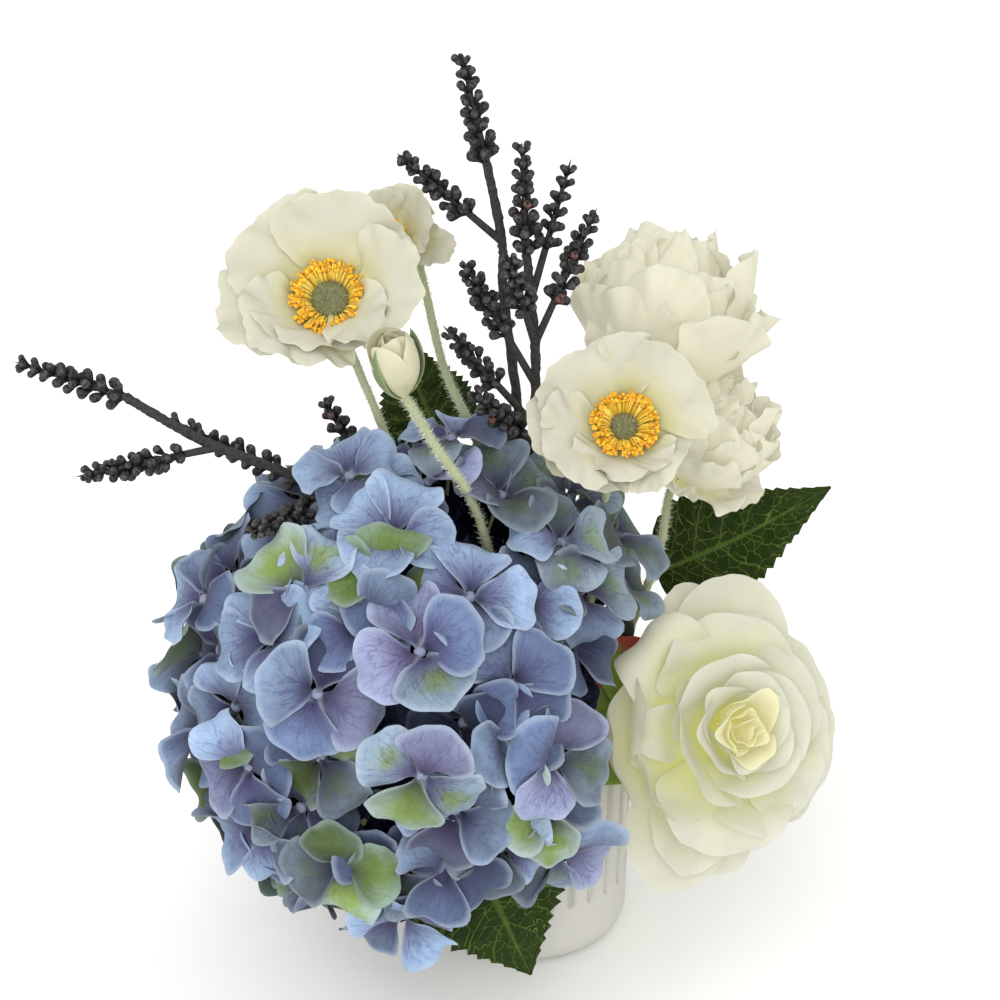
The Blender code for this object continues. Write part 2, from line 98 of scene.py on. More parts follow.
# %% Weaves
class Weave:
    """How the points of one shape are joined. Each entry of patches is (faces, spots, cells, sheet):
    corner numbers, the pattern's place and the bake square's place of each corner, and whose square."""

    def __init__(self, size, sheets, patches, far_side):
        self.size = size
        self.sheets = sheets
        self.patches = patches
        self.far_side = far_side


def grid_quads(rows, columns):
    """Corner numbers of a grid's cells, anticlockwise as seen from the side that it faces."""
    start = (np.arange(rows - 1)[:, None] * columns + np.arange(columns - 1)).reshape(-1, 1)
    return start + np.array([0, 1, columns + 1, columns])


def shell_weave(rows, columns, round_pattern=False):
    """A front grid and a back grid that share their border. Round patterns press the square to a disc."""
    front = np.arange(rows * columns).reshape(rows, columns)
    back = front.copy()
    back[1:-1, 1:-1] = rows * columns + np.arange((rows - 2) * (columns - 2)).reshape(rows - 2, -1)
    quads = grid_quads(rows, columns)
    b, a = np.meshgrid(np.linspace(-1, 1, rows), np.linspace(-1, 1, columns), indexing="ij")
    square = np.stack([a, b], -1).reshape(-1, 2)
    pattern = square
    if round_pattern:
        pattern = np.stack(pressed(a, b), -1).reshape(-1, 2)
    flipped = quads[:, ::-1]
    patches = [(quads, pattern[quads], 0.5 + 0.5 * square[quads], 0),
               (back.ravel()[flipped], pattern[flipped], 0.5 + 0.5 * square[flipped], 1)]
    size = rows * columns + (rows - 2) * (columns - 2)
    far_side = (np.arange(size) >= rows * columns).astype(float)
    return Weave(size, 2, patches, far_side)


def tube_weave(rings, sides):
    """Rings of points with a pole at each end, in the order rings, first pole, last pole."""
    ring, side = np.meshgrid(np.arange(rings - 1), np.arange(sides), indexing="ij")
    after = (side + 1) % sides
    quads = np.stack([ring * sides + side, ring * sides + after, (ring + 1) * sides + after,
                      (ring + 1) * sides + side], -1).reshape(-1, 4)
    u = np.stack([side, side + 1, side + 1, side], -1).reshape(-1, 4) / sides
    v = (np.stack([ring, ring, ring + 1, ring + 1], -1).reshape(-1, 4) + 1) / (rings + 1)
    j = np.arange(sides)
    top = (rings - 1) * sides
    low = np.stack([0 * j + rings * sides, (j + 1) % sides, j], -1)
    high = np.stack([0 * j + rings * sides + 1, top + j, top + (j + 1) % sides], -1)
    low_u = np.stack([j + 0.5, j + 1, j], -1) / sides
    high_u = np.stack([j + 0.5, j, j + 1], -1) / sides
    low_v = np.stack([0 * j, 0 * j + 1, 0 * j + 1], -1) / (rings + 1)
    patches = []
    for faces, across, along in ((quads, u, v), (low, low_u, low_v), (high, high_u, 1 - low_v)):
        square = np.stack([across, along], -1)
        patches.append((faces, square * 2 - 1, square, 0))
    size = rings * sides + 2
    return Weave(size, 1, patches, np.zeros(size))


def pressed(a, b):
    """A square's point pressed into a disc: x = a √(1 - b²/2), y = b √(1 - a²/2)."""
    return a * np.sqrt(1 - b * b / 2), b * np.sqrt(1 - a * a / 2)


# %% [markdown]
# A piece gathers batches of copies and becomes one Blender mesh. Next to the points it stores what the
# finishes read: the pattern's place on each copy, as a UV map, and each copy's own lot, two random
# numbers and whether a point is on the far side.

# %% Pieces
CELL_MARGIN = 0.04                # of a copy's square on the bake map
SHARP_FROM = math.radians(75)     # edges bent more than this are shaded as edges
triangle_count = {}


class Piece:
    """Copies of weaves gathered into one mesh."""

    def __init__(self, name, seed):
        self.name = name
        self.draws = np.random.default_rng(seed)
        self.batches = []

    def add(self, weave, points, tint=0):
        """Copies of a weave, from points of shape (copies, points, 3). Tint numbers their finishes."""
        count = len(points)
        lot = self.draws.random((count, 1, 2)) + np.zeros((1, weave.size, 1))
        side = np.broadcast_to(weave.far_side[None, :, None], (count, weave.size, 1))
        lots = np.concatenate([lot, side], axis=2)
        self.batches.append((weave, np.asarray(points, float), np.broadcast_to(tint, count), lots))

    def build(self, finishes, stands_for=()):
        """Write the mesh, give it its finishes, and hand it to the frame."""
        across = math.ceil(math.sqrt(sum(len(points) * weave.sheets for weave, points, _, _ in self.batches)))
        corners, sizes, spots, squares, tints = [], [], [], [], []
        first_point = 0
        first_square = 0
        for weave, points, tint, _ in self.batches:
            count = len(points)
            base = first_point + np.arange(count) * weave.size
            own = first_square + np.arange(count) * weave.sheets
            for faces, pattern, square, sheet in weave.patches:
                corners.append((base[:, None, None] + faces).ravel())
                sizes.append(np.full(count * len(faces), faces.shape[1]))
                spots.append(np.broadcast_to(pattern, (count,) + pattern.shape).reshape(-1, 2))
                number = (own + sheet)[:, None]
                corner = np.stack([number % across, number // across], -1)[:, :, None, :]
                inset = CELL_MARGIN + (1 - 2 * CELL_MARGIN) * square
                squares.append(((corner + inset) / across).reshape(-1, 2))
                tints.append(np.repeat(tint, len(faces)))
            first_point += count * weave.size
            first_square += count * weave.sheets
        corners = np.concatenate(corners)
        sizes = np.concatenate(sizes)
        tints = np.concatenate(tints)
        places = np.concatenate([points.reshape(-1, 3) for _, points, _, _ in self.batches])
        lots = np.concatenate([lots.reshape(-1, 3) for _, _, _, lots in self.batches])
        mesh = bpy.data.meshes.new(self.name)
        mesh.vertices.add(first_point)
        mesh.loops.add(len(corners))
        mesh.polygons.add(len(sizes))
        mesh.vertices.foreach_set("co", places.astype(np.float32).ravel())
        mesh.loops.foreach_set("vertex_index", corners.astype(np.int32))
        mesh.polygons.foreach_set("loop_start", (np.cumsum(sizes) - sizes).astype(np.int32))
        mesh.polygons.foreach_set("material_index", tints.astype(np.int32))
        mesh.update(calc_edges=True)
        for name, pairs in (("spot", spots), ("OFBake", squares)):
            layer = mesh.uv_layers.new(name=name)
            layer.data.foreach_set("uv", np.concatenate(pairs).astype(np.float32).ravel())
        lot = mesh.attributes.new("lot", "FLOAT_VECTOR", "POINT")
        lot.data.foreach_set("vector", lots.astype(np.float32).ravel())
        mesh.validate()
        mesh.shade_smooth()
        mesh.set_sharp_from_angle(angle=SHARP_FROM)
        for finish in finishes:
            mesh.materials.append(finish)
        made = bpy.data.objects.new(self.name, mesh)
        bpy.context.scene.collection.objects.link(made)
        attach(made, "root")
        if stands_for:
            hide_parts(*stands_for)
        triangle_count[self.name] = int(np.sum(sizes - 2))
        return made


# %% [markdown]
# ## Curves, tubes and turned shapes
# A stem follows a smooth curve through the same few points as in the frame. Its rings stand square to
# the curve. A berry or an ovary is turned like a bowl on a lathe, from a profile of (height, radius).

# %% Curves and tubes
ODD_WAY = (0.31, -0.87, 0.17)     # no stem runs this way, so a cross product with it never vanishes


def smooth_path(points, count):
    """A Catmull-Rom curve: between two points it blends its four nearest with cubic weights."""
    points = np.asarray(points, float)
    guide = np.vstack([2 * points[0] - points[1], points, 2 * points[-1] - points[-2]])
    t = np.linspace(0, len(points) - 1, count)
    span = np.minimum(t.astype(int), len(points) - 2)
    u = (t - span)[:, None]
    a, b, c, d = (guide[span + i] for i in range(4))
    square = 2 * a - 5 * b + 4 * c - d
    cube = 3 * b - a - 3 * c + d
    return 0.5 * (2 * b + (c - a) * u + square * u ** 2 + cube * u ** 3)


def along(path, share):
    """The points at shares of a path's parameter."""
    place = np.atleast_1d(share) * (len(path) - 1)
    low = np.minimum(place.astype(int), len(path) - 2)
    return path[low] + (place - low)[:, None] * (path[low + 1] - path[low])


def tubes(paths, radii, sides, relief=None):
    """Tube points about many paths, (tubes, rings, 3): point + radius (cos t side + sin t rise). Relief
    is a share added to each point's radius."""
    paths = np.asarray(paths, float)
    count, rings = paths.shape[:2]
    tangents = unit(np.gradient(paths, axis=1))
    side = unit(np.cross(tangents, ODD_WAY))
    rise = np.cross(tangents, side)
    turns = np.linspace(0, 2 * math.pi, sides, endpoint=False)[:, None]
    reach = np.broadcast_to(np.asarray(radii, float)[..., None], (count, rings, sides))
    if relief is not None:
        reach = reach * (1 + relief)
    spokes = np.cos(turns) * side[:, :, None, :] + np.sin(turns) * rise[:, :, None, :]
    points = paths[:, :, None, :] + reach[..., None] * spokes
    return np.concatenate([points.reshape(count, -1, 3), paths[:, :1], paths[:, -1:]], axis=1)


def add_tubes(piece, paths, radii, sides, tint=0, relief=None):
    """Closed tubes about many paths, added to a piece as copies of one weave."""
    piece.add(tube_weave(paths.shape[1], sides), tubes(paths, radii, sides, relief), tint)


def turned_shape(profile, sides, start, end):
    """A lathe shape about +Z: a ring of each (height, radius), with poles at two heights."""
    height, radius = np.asarray(profile, float).T
    turns = np.linspace(0, 2 * math.pi, sides, endpoint=False)
    rings = np.stack([radius[:, None] * np.cos(turns), radius[:, None] * np.sin(turns),
                      np.broadcast_to(height[:, None], (len(height), sides))], -1)
    return np.vstack([rings.reshape(-1, 3), [0, 0, start], [0, 0, end]])


# %% [markdown]
# ## One petal formula
# A hydrangea floret, a poppy and a rose differ only in how their petals grow: long or broad, flat or
# hollow, smooth or ragged. One formula with many settings serves them all. The petal starts as a round
# disc, which has no pinched tip, and is stretched, narrowed at its foot, bent along and across, and
# rippled. Real silk petals are stamped from cloth and pressed over a ball in the same order.

# %% Petals
MIDLINE_STEPS = 48
MIDLINE_END = 1.2                 # a ragged rim reaches past the petal's length, so the line goes on
FOLDS_FROM = 1.35                 # creases fan out from this far below the disc's middle
NOTCH_WIDTH = 0.22                # radians of the rim
POINT_WIDTH = 0.30
FRAY_WAVES = (5, 9, 16, 27)       # waves round the rim that add up to a frayed edge


def petals(cells, draws, length, half, pitch, bend, cup, lip=0.0, lip_start=0.72, twist=0.0, claw=0.35,
           neck=0.55, point=0.0, ragged=0.0, ripple=0.0, waves=4, crease=0.0, creases=9, notch=0.0):
    """Sheets of points, (petals, rows, columns, 3), each growing along +Y from its foot, facing +Z.

    A disc's point (x, y) lies at the share s = (y + 1) / 2 of the petal. The midline leaves at the
    angle pitch and turns by bend over its length, and by lip past lip_start: it is the running sum of
    (cos, sin) of that angle. Across, the sheet is an arc that closes by cup at either edge, and its
    width grows from claw at the foot to full at neck. Point draws out the tip, notch dents it, ragged
    frays the rim, ripple waves the rim, and creases fan out from the foot.
    """
    count = len(length)

    def own(value):
        return np.broadcast_to(np.asarray(value, float), count)[:, None, None]

    line = np.linspace(-1, 1, cells + 1)
    x, y = pressed(*np.meshgrid(line, line))
    rim = np.sqrt(x * x + y * y)
    about = np.arctan2(x, y)
    fan = np.arctan2(x, y + FOLDS_FROM)
    phase = draws.random((12, count, 1, 1)) * 2 * math.pi

    fray = sum(np.sin(k * about + phase[i]) / (i + 1.5) for i, k in enumerate(FRAY_WAVES))
    dent = np.exp(-(about / NOTCH_WIDTH) ** 2)
    stretch = 1 + own(ragged) * rim ** 6 * fray - own(notch) * rim ** 4 * dent
    x = x * stretch
    y = y * stretch
    s = (y + 1) / 2
    s = s * (1 + own(point) * s ** 5 * np.exp(-(x / POINT_WIDTH) ** 2))

    t = np.linspace(0, MIDLINE_END, MIDLINE_STEPS)
    angle = own(pitch) + own(bend) * t + own(lip) * eased((t - lip_start) / (1 - lip_start))
    angle = angle[:, 0, :]
    step = own(length)[:, 0] * t[1]
    forward = np.cumsum(np.cos(angle) * step, axis=1) - np.cos(angle[:, :1]) * step
    upward = np.cumsum(np.sin(angle) * step, axis=1) - np.sin(angle[:, :1]) * step
    place = np.clip(s / MIDLINE_END, 0, 0.999) * (MIDLINE_STEPS - 1)
    low = place.astype(int)
    part = place - low
    lane = np.arange(count)[:, None, None]

    def read(table):
        return table[lane, low] * (1 - part) + table[lane, low + 1] * part

    width = own(half) * (own(claw) + (1 - own(claw)) * eased(s / own(neck)))
    close = own(cup) * x
    sideways = width * x * np.sinc(close / math.pi)
    rise = width * 0.5 * close * x * np.sinc(close / (2 * math.pi)) ** 2
    wave = np.sin(waves * about + phase[4]) + 0.6 * np.sin((2 * waves + 1) * about + phase[5])
    rise = rise + own(ripple) * rim ** 3 * wave
    folds = sum(np.sin(creases * k * fan + 1.3 * np.sin(3 * s + phase[8 + i]) + phase[6 + i]) / k
                for i, k in enumerate((1, 2.3)))
    rise = rise + own(crease) * s * folds
    across = np.cos(own(twist) * s)
    tipped = np.sin(own(twist) * s)
    sideways, rise = sideways * across - rise * tipped, sideways * tipped + rise * across
    lean = read(angle)
    ahead = read(forward) - rise * np.sin(lean)
    return np.stack([sideways, ahead, read(upward) + rise * np.cos(lean)], -1)


def shells(sheets, thickness):
    """Closed shells about sheets: front and back stand half the thickness off, down to nothing at
    the border, and the back leaves out the border that the front already has."""
    normal = unit(np.cross(np.gradient(sheets, axis=2), np.gradient(sheets, axis=1)))
    rows, columns = sheets.shape[1:3]
    inner = np.maximum.outer(np.abs(np.linspace(-1, 1, rows)), np.abs(np.linspace(-1, 1, columns)))
    step = 0.5 * thickness * (1 - inner ** 10)[..., None] * normal
    front = (sheets + step).reshape(len(sheets), -1, 3)
    back = (sheets - step)[:, 1:-1, 1:-1].reshape(len(sheets), -1, 3)
    return np.concatenate([front, back], axis=1)


# %% [markdown]
# ## Shader sums
# A finish is a small program of nodes. Written node by node it is long and hard to read, so a socket is
# wrapped in a class whose + - * / add the Math nodes themselves, and a paint makes every other node
# through one method that takes the node's type, its settings and its inputs. Two small functions make
# the plain finishes, which are no more than two colours mixed.

# %% Paint
class Wire:
    """A number socket that takes part in Python sums."""

    def __init__(self, paint, socket):
        self.paint = paint
        self.socket = socket

    def __add__(self, other):
        return self.paint.math("ADD", self, other)

    def __radd__(self, other):
        return self.paint.math("ADD", other, self)

    def __sub__(self, other):
        return self.paint.math("SUBTRACT", self, other)

    def __rsub__(self, other):
        return self.paint.math("SUBTRACT", other, self)

    def __mul__(self, other):
        return self.paint.math("MULTIPLY", self, other)

    def __rmul__(self, other):
        return self.paint.math("MULTIPLY", other, self)

    def __truediv__(self, other):
        return self.paint.math("DIVIDE", self, other)

    def __pow__(self, other):
        return self.paint.math("POWER", self, other)

    def __abs__(self):
        return self.paint.math("ABSOLUTE", self)


class Paint:
    """One material: a Principled shader, and the nodes that feed it."""

    def __init__(self, name, **uniform):
        self.material = bpy.data.materials.new(name)
        self.material.use_nodes = True
        self.tree = self.material.node_tree
        self.shader = self.tree.nodes["Principled BSDF"]
        for socket, value in uniform.items():
            self.shader.inputs[socket.replace("_", " ")].default_value = value

    def node(self, kind, settings=None, inputs=None, output=0):
        """A node of one kind: its settings first, then the values or wires of its sockets."""
        made = self.tree.nodes.new(kind)
        for name, value in (settings or {}).items():
            setattr(made, name, value)
        for name, value in (inputs or {}).items():
            if isinstance(value, Wire):
                self.tree.links.new(value.socket, made.inputs[name])
            else:
                made.inputs[name].default_value = value
        return Wire(self, made.outputs[output])

    def math(self, operation, a, b=0.0):
        """One Math node."""
        return self.node("ShaderNodeMath", {"operation": operation}, {0: a, 1: b})

    def parts(self, vector):
        """The three numbers of a vector."""
        return [self.node("ShaderNodeSeparateXYZ", None, {0: vector}, i) for i in range(3)]

    def joined(self, x, y, z=0.0):
        """A vector of three numbers."""
        return self.node("ShaderNodeCombineXYZ", None, {0: x, 1: y, 2: z})

    def spot(self):
        """The place on the copy, from -1 to 1 across and along."""
        x, y, _ = self.parts(self.node("ShaderNodeUVMap", {"uv_map": "spot"}))
        return x, y

    def lot(self):
        """The copy's two random numbers, and 1 on its far side."""
        return self.parts(self.node("ShaderNodeAttribute", {"attribute_name": "lot"}, None, 1))

    def place(self):
        """The point itself, in metres."""
        return self.node("ShaderNodeTexCoord", None, None, 3)

    def step(self, value, low, high):
        """Nought below low, one above high, eased between."""
        return self.node("ShaderNodeMapRange", {"interpolation_type": "SMOOTHSTEP"},
                         {0: value, 1: low, 2: high, 3: 0.0, 4: 1.0})

    def noise(self, vector, scale, detail=2.0):
        """Cloudy noise about 0.5."""
        return self.node("ShaderNodeTexNoise", None, {"Vector": vector, "Scale": scale, "Detail": detail})

    def mix(self, share, a, b, way="MIX"):
        """Colours a and b mixed by a share."""
        a, b = (value if isinstance(value, Wire) else (*value, 1.0) for value in (a, b))
        return self.node("ShaderNodeMix", {"data_type": "RGBA", "blend_type": way, "clamp_factor": True},
                         {0: share, 6: a, 7: b}, 2)

    def bright(self, colour, share):
        """A colour times a number."""
        return self.node("ShaderNodeVectorMath", {"operation": "SCALE"}, {0: colour, 3: share})

    def feed(self, socket, value):
        """Join a wire to a socket of the Principled shader."""
        self.tree.links.new(value.socket, self.shader.inputs[socket])

    def bump(self, height, distance, strength=1.0):
        """Relief: height times distance, in metres."""
        inputs = {"Height": height, "Distance": distance, "Strength": strength}
        self.feed("Normal", self.node("ShaderNodeBump", None, inputs))

    def let_light_through(self, colour, share):
        """Thin cloth: that share of the light comes from behind."""
        glow = self.node("ShaderNodeBsdfTranslucent", None, {"Color": colour})
        both = self.node("ShaderNodeMixShader", None, {0: share, 2: glow})
        self.tree.links.new(self.shader.outputs[0], both.socket.node.inputs[1])
        self.tree.links.new(both.socket, self.tree.nodes["Material Output"].inputs["Surface"])


def grained(name, low, high, scale, detail=2.0, relief=0.0, strength=1.0, **uniform):
    """A plain finish: two colours mixed by cloudy noise, whose relief in metres lifts the surface."""
    paint = Paint(name, **uniform)
    grain = paint.noise(paint.place(), scale, detail)
    paint.feed("Base Color", paint.mix(grain, low, high))
    if relief:
        paint.bump(grain, relief, strength)
    return paint


def dealt(name, low, high, **uniform):
    """A plain finish whose two colours are mixed by each copy's own first number."""
    paint = Paint(name, **uniform)
    paint.feed("Base Color", paint.mix(paint.lot()[0], low, high))
    return paint


# %% [markdown]
# ## Camera, light and floor
# The camera stands a little above the flowers and looks down at them, from far off, so that
# perspective stays slight. The light is a white tent: bright all round, with a wide soft lamp in
# front and above, and another on the camera's side that lights the blooms' depths.
# Places on the flowers can be given in the camera's own picture, 1000 wide, because a line of sight
# and the ball of the head meet in one point.

# %% Camera
VIEW_RISE = math.radians(27.0)
VIEW_DISTANCE = 1.4
VIEW_SCALE = 0.00038              # metres in the picture's one thousandth, at the distance
FOOT_SPOT = (526, 917)            # where the pot's foot stands in the picture
PICTURE_MIDDLE = 500
SENSOR = 36.0                     # millimetres
RIGHT = np.array([1.0, 0.0, 0.0])
RISE = np.array([0.0, math.sin(VIEW_RISE), math.cos(VIEW_RISE)])
TOWARD = np.array([0.0, -math.cos(VIEW_RISE), math.sin(VIEW_RISE)])
AIM = VIEW_SCALE * ((PICTURE_MIDDLE - FOOT_SPOT[0]) * RIGHT + (FOOT_SPOT[1] - PICTURE_MIDDLE) * RISE)
EYE = AIM + VIEW_DISTANCE * TOWARD


def sight(across, down):
    """The unit direction of the line of sight through a place in the picture."""
    to_the_right = np.asarray(across, float) - PICTURE_MIDDLE
    upwards = PICTURE_MIDDLE - np.asarray(down, float)
    flat = np.stack([to_the_right, upwards], -1) * VIEW_SCALE
    return unit(flat @ np.stack([RIGHT, RISE]) - VIEW_DISTANCE * TOWARD)


def on_ball(across, down, centre, radius):
    """Where lines of sight meet a ball: the nearer root of |eye + t way - centre| = radius, or the
    ball's point nearest to a line that misses it."""
    way = sight(across, down)
    back = EYE - centre
    middle = -way @ back
    room = middle ** 2 - back @ back + radius ** 2
    point = EYE + (middle - np.sqrt(np.maximum(room, 0)))[:, None] * way
    return centre + np.asarray(radius)[:, None] * unit(point - centre)


lens = bpy.data.cameras.new("camera")
lens.sensor_width = SENSOR
lens.lens = SENSOR * VIEW_DISTANCE / (2 * PICTURE_MIDDLE * VIEW_SCALE)
camera = bpy.data.objects.new("camera", lens)
camera.location = EYE
camera.rotation_euler = (math.pi / 2 - VIEW_RISE, 0.0, 0.0)
bpy.context.scene.collection.objects.link(camera)
bpy.context.scene.camera = camera
print("camera at", np.round(EYE, 3), "lens", round(lens.lens, 1), "mm")

# %% Light and floor
SKY_LIGHT = 1.0
TENT_WHITE = (1.0, 0.995, 0.985, 1.0)
BACKDROP_WHITE = (1.0, 1.0, 1.0, 1.0)
# each lamp: the way it stands from the flowers, its power, and how wide it looks in degrees
LAMPS = {"key_lamp": ((-0.48, -0.80, 1.0), 0.80, 60), "fill_lamp": (tuple(TOWARD), 0.95, 36)}
FLOOR_HALF = 14.0

scene = bpy.context.scene
scene.view_settings.view_transform = "Standard"
world = bpy.data.worlds.new("tent")
world.use_nodes = True
scene.world = world
nodes = world.node_tree.nodes
sky = nodes["Background"]
sky.inputs["Color"].default_value = TENT_WHITE
sky.inputs["Strength"].default_value = SKY_LIGHT
backdrop = nodes.new("ShaderNodeBackground")
backdrop.inputs["Color"].default_value = BACKDROP_WHITE
seen = nodes.new("ShaderNodeLightPath")
choice = nodes.new("ShaderNodeMixShader")
links = world.node_tree.links
links.new(seen.outputs["Is Camera Ray"], choice.inputs[0])
links.new(sky.outputs[0], choice.inputs[1])
links.new(backdrop.outputs[0], choice.inputs[2])
links.new(choice.outputs[0], nodes["World Output"].inputs["Surface"])

for name, (way, power, width) in LAMPS.items():
    lamp = bpy.data.lights.new(name, "SUN")
    lamp.energy = power
    lamp.angle = math.radians(width)
    stand = bpy.data.objects.new(name, lamp)
    stand.rotation_euler = Matrix([tuple(row) for row in frames(way)[0]]).to_euler()
    scene.collection.objects.link(stand)

floor_mesh = bpy.data.meshes.new("floor")
floor_mesh.from_pydata([(-FLOOR_HALF, -FLOOR_HALF, 0), (FLOOR_HALF, -FLOOR_HALF, 0),
                        (FLOOR_HALF, FLOOR_HALF, 0), (-FLOOR_HALF, FLOOR_HALF, 0)], [], [(0, 1, 2, 3)])
floor = bpy.data.objects.new("floor", floor_mesh)
scene.collection.objects.link(floor)
paper = grained("pale_paper", (0.93, 0.93, 0.92), (0.96, 0.96, 0.955), 3.0, Roughness=0.9,
                Specular_IOR_Level=0.1)
floor_mesh.materials.append(paper.material)

# %% [markdown]
# ## The pot
# A slip-cast cup with a rounded heel and a ring of narrow upright slots. On a lathe it would be one
# profile; the slots are a second formula, the distance to a short upright line, that pulls the wall
# in. The grid has enough columns for each slot's rounded ends to read.

# %% Pot
POT_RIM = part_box("pot")[1].x
POT_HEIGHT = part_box("pot")[1].z
POT_BASE = 0.0375
POT_FOOT = 0.0250
POT_HEEL = POT_BASE - POT_FOOT
POT_WALL = 0.0035
POT_LIP = 0.0009
FLUTES = 28
FLUTE_HALF = 0.00145
FLUTE_DEPTH = 0.0024
FLUTE_LOW = 0.0275                # height of a slot's lower round end, at its centre
FLUTE_HIGH = 0.0805
COLUMNS = FLUTES * 14


def wall_radius(height):
    """The outer radius where the wall leans out, from the heel to the rim."""
    return POT_BASE + (POT_RIM - POT_BASE) * (height - POT_HEEL) / (POT_HEIGHT - POT_HEEL)


def pot_points():
    """Rings up the outside, over the lip and down the inside. Outside, radius = the wall's less the
    slot's depth, which falls off with the distance to the slot's middle line."""
    heel = np.radians(np.linspace(0, 90, 9))
    heights = np.concatenate([np.linspace(POT_HEEL, FLUTE_LOW - 0.003, 5)[1:],
                              np.linspace(FLUTE_LOW - 0.002, FLUTE_LOW + 0.002, 9),
                              np.linspace(FLUTE_LOW + 0.004, FLUTE_HIGH - 0.004, 12),
                              np.linspace(FLUTE_HIGH - 0.002, FLUTE_HIGH + 0.002, 9),
                              [POT_HEIGHT - 2.4 * POT_LIP]])
    lip = np.radians(np.linspace(0, 180, 7))
    outside = [(POT_FOOT + POT_HEEL * math.sin(a), POT_HEEL * (1 - math.cos(a))) for a in heel]
    outside += [(wall_radius(h), h) for h in heights]
    edge = [(POT_RIM - 0.5 * POT_WALL * (1 - math.cos(a)), POT_HEIGHT - POT_LIP * (1 - math.sin(a)))
            for a in lip]
    inside = [(POT_BASE - POT_WALL, POT_HEEL), (POT_FOOT, POT_WALL)]
    radius, height = np.array(outside + edge + inside).T
    turns = np.linspace(0, 2 * math.pi, COLUMNS, endpoint=False)
    pitch = 2 * math.pi / FLUTES
    aside = (np.mod(turns + 0.5 * pitch, pitch) - 0.5 * pitch) * POT_RIM
    above = np.maximum(np.maximum(FLUTE_LOW - height, height - FLUTE_HIGH), 0.0)
    distance = np.hypot(aside, above[:, None])
    dip = FLUTE_DEPTH * (1 - eased(distance / FLUTE_HALF - 0.25))
    dip *= (np.arange(len(radius)) < len(outside))[:, None]
    reach = radius[:, None] - dip
    rings = np.stack([reach * np.cos(turns), reach * np.sin(turns),
                      np.broadcast_to(height[:, None], reach.shape)], -1)
    return np.vstack([rings.reshape(-1, 3), [0, 0, 0], [0, 0, POT_WALL]]), len(radius)


ceramic = Paint("white_ceramic", Roughness=0.42, Specular_IOR_Level=0.4, Coat_Roughness=0.3)
here = ceramic.place()
cloud = ceramic.noise(here, 34.0, 3.0)
speck = ceramic.step(ceramic.noise(here, 900.0, 2.0), 0.68, 0.74)
clay = ceramic.mix(cloud, (0.51, 0.505, 0.465), (0.565, 0.555, 0.515))
ceramic.feed("Base Color", ceramic.mix(speck * 0.25, clay, (0.42, 0.40, 0.36)))
ceramic.feed("Roughness", 0.34 + 0.16 * cloud)
ceramic.bump(ceramic.noise(here, 260.0, 3.0), 0.0004, 0.35)

points, rings = pot_points()
pot = Piece("fluted_pot", 1)
pot.add(tube_weave(rings, COLUMNS), points[None])
pot.build([ceramic.material], ["pot"])
print("pot:", triangle_count["fluted_pot"], "triangles, rim", round(POT_RIM * 1000, 1), "mm")

# %% [markdown]
# ## The filling
# Under the flowers the pot is packed with dry foam, and its top is crumbly. A turned plug with a
# cloudy relief on its top gives that, and a rough finish with fine pits does the rest.

# %% Filling
FILL_LOW, FILL_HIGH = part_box("pot_fill")
FILL_SIDES = 72
FILL_RINGS = 16


def filling_points(draws):
    """A plug of level rings: up the wall, then inwards over the top, whose height is a few sums of
    sines of place, small enough to keep to the plug's own height."""
    share = np.linspace(0, 1, FILL_RINGS)
    inward = (FILL_HIGH.x - 0.0002) * (1 - share ** 1.3)[:-1]
    radius = np.concatenate([[POT_FOOT - 0.001, FILL_HIGH.x - 0.0022], inward])
    height = np.concatenate([[FILL_LOW.z, POT_HEEL], np.full(FILL_RINGS - 1, FILL_HIGH.z - 0.0012)])
    turns = np.linspace(0, 2 * math.pi, FILL_SIDES, endpoint=False)
    x = radius[:, None] * np.cos(turns)
    y = radius[:, None] * np.sin(turns)
    waves = draws.normal(0, 420, (10, 2))
    relief = sum(np.sin(a * x + b * y + i) for i, (a, b) in enumerate(waves)) / 10
    z = height[:, None] + 0.0011 * relief * (np.arange(len(radius)) > 1)[:, None]
    top = [0, 0, FILL_HIGH.z - 0.001]
    return np.vstack([np.stack([x, y, z], -1).reshape(-1, 3), [0, 0, FILL_LOW.z], top]), len(radius)


foam = grained("dry_foam", (0.020, 0.026, 0.014), (0.085, 0.095, 0.050), 420.0, 4.0, relief=0.0012,
               strength=0.8, Roughness=0.95)
filling = Piece("foam_filling", 2)
points, rings = filling_points(filling.draws)
filling.add(tube_weave(rings, FILL_SIDES), points[None])
filling.build([foam.material], ["pot_fill"])
print("filling:", triangle_count["foam_filling"], "triangles")

# %% [markdown]
# ## Floret finishes
# Dyed silk florets run from clear blue through periwinkle and lilac to lime green. Each tint is its own
# plain colour, dealt out petal by petal, and each finish lays the same things over it: lilac bleeding
# out of the foot, painted shade towards the foot, fine dark veins that fan and branch, a pale rim, and a
# greyer reverse. The veins come from noise read in fan coordinates, the angle and the distance from the
# foot: a thin band around the noise's middle value is a net of winding lines. Towards the middle of the
# head the whole petal darkens with painted shade, for the shade between florets that sets one off from the
# next.

# %% Floret finishes
FOOT_BELOW = 1.25                 # the fan's middle lies this far below the disc's middle
SILK = dict(Roughness=0.74, Specular_IOR_Level=0.18, Sheen_Weight=0.12, Sheen_Roughness=0.45)
MATT_SILK = dict(Roughness=0.90, Specular_IOR_Level=0.04)
LILAC = (0.18, 0.155, 0.36)
VEIN = (0.055, 0.055, 0.17)
PALE_RIM = (0.50, 0.585, 0.69)
HEAD_CENTRE = np.array([-0.040, -0.025, 0.116])
HEAD_X, HEAD_Y, HEAD_Z = (float(part) for part in HEAD_CENTRE)
DARK_BELOW = 0.068                # the painted shade is darkest this near to the head's middle
LIT_ABOVE = 0.097


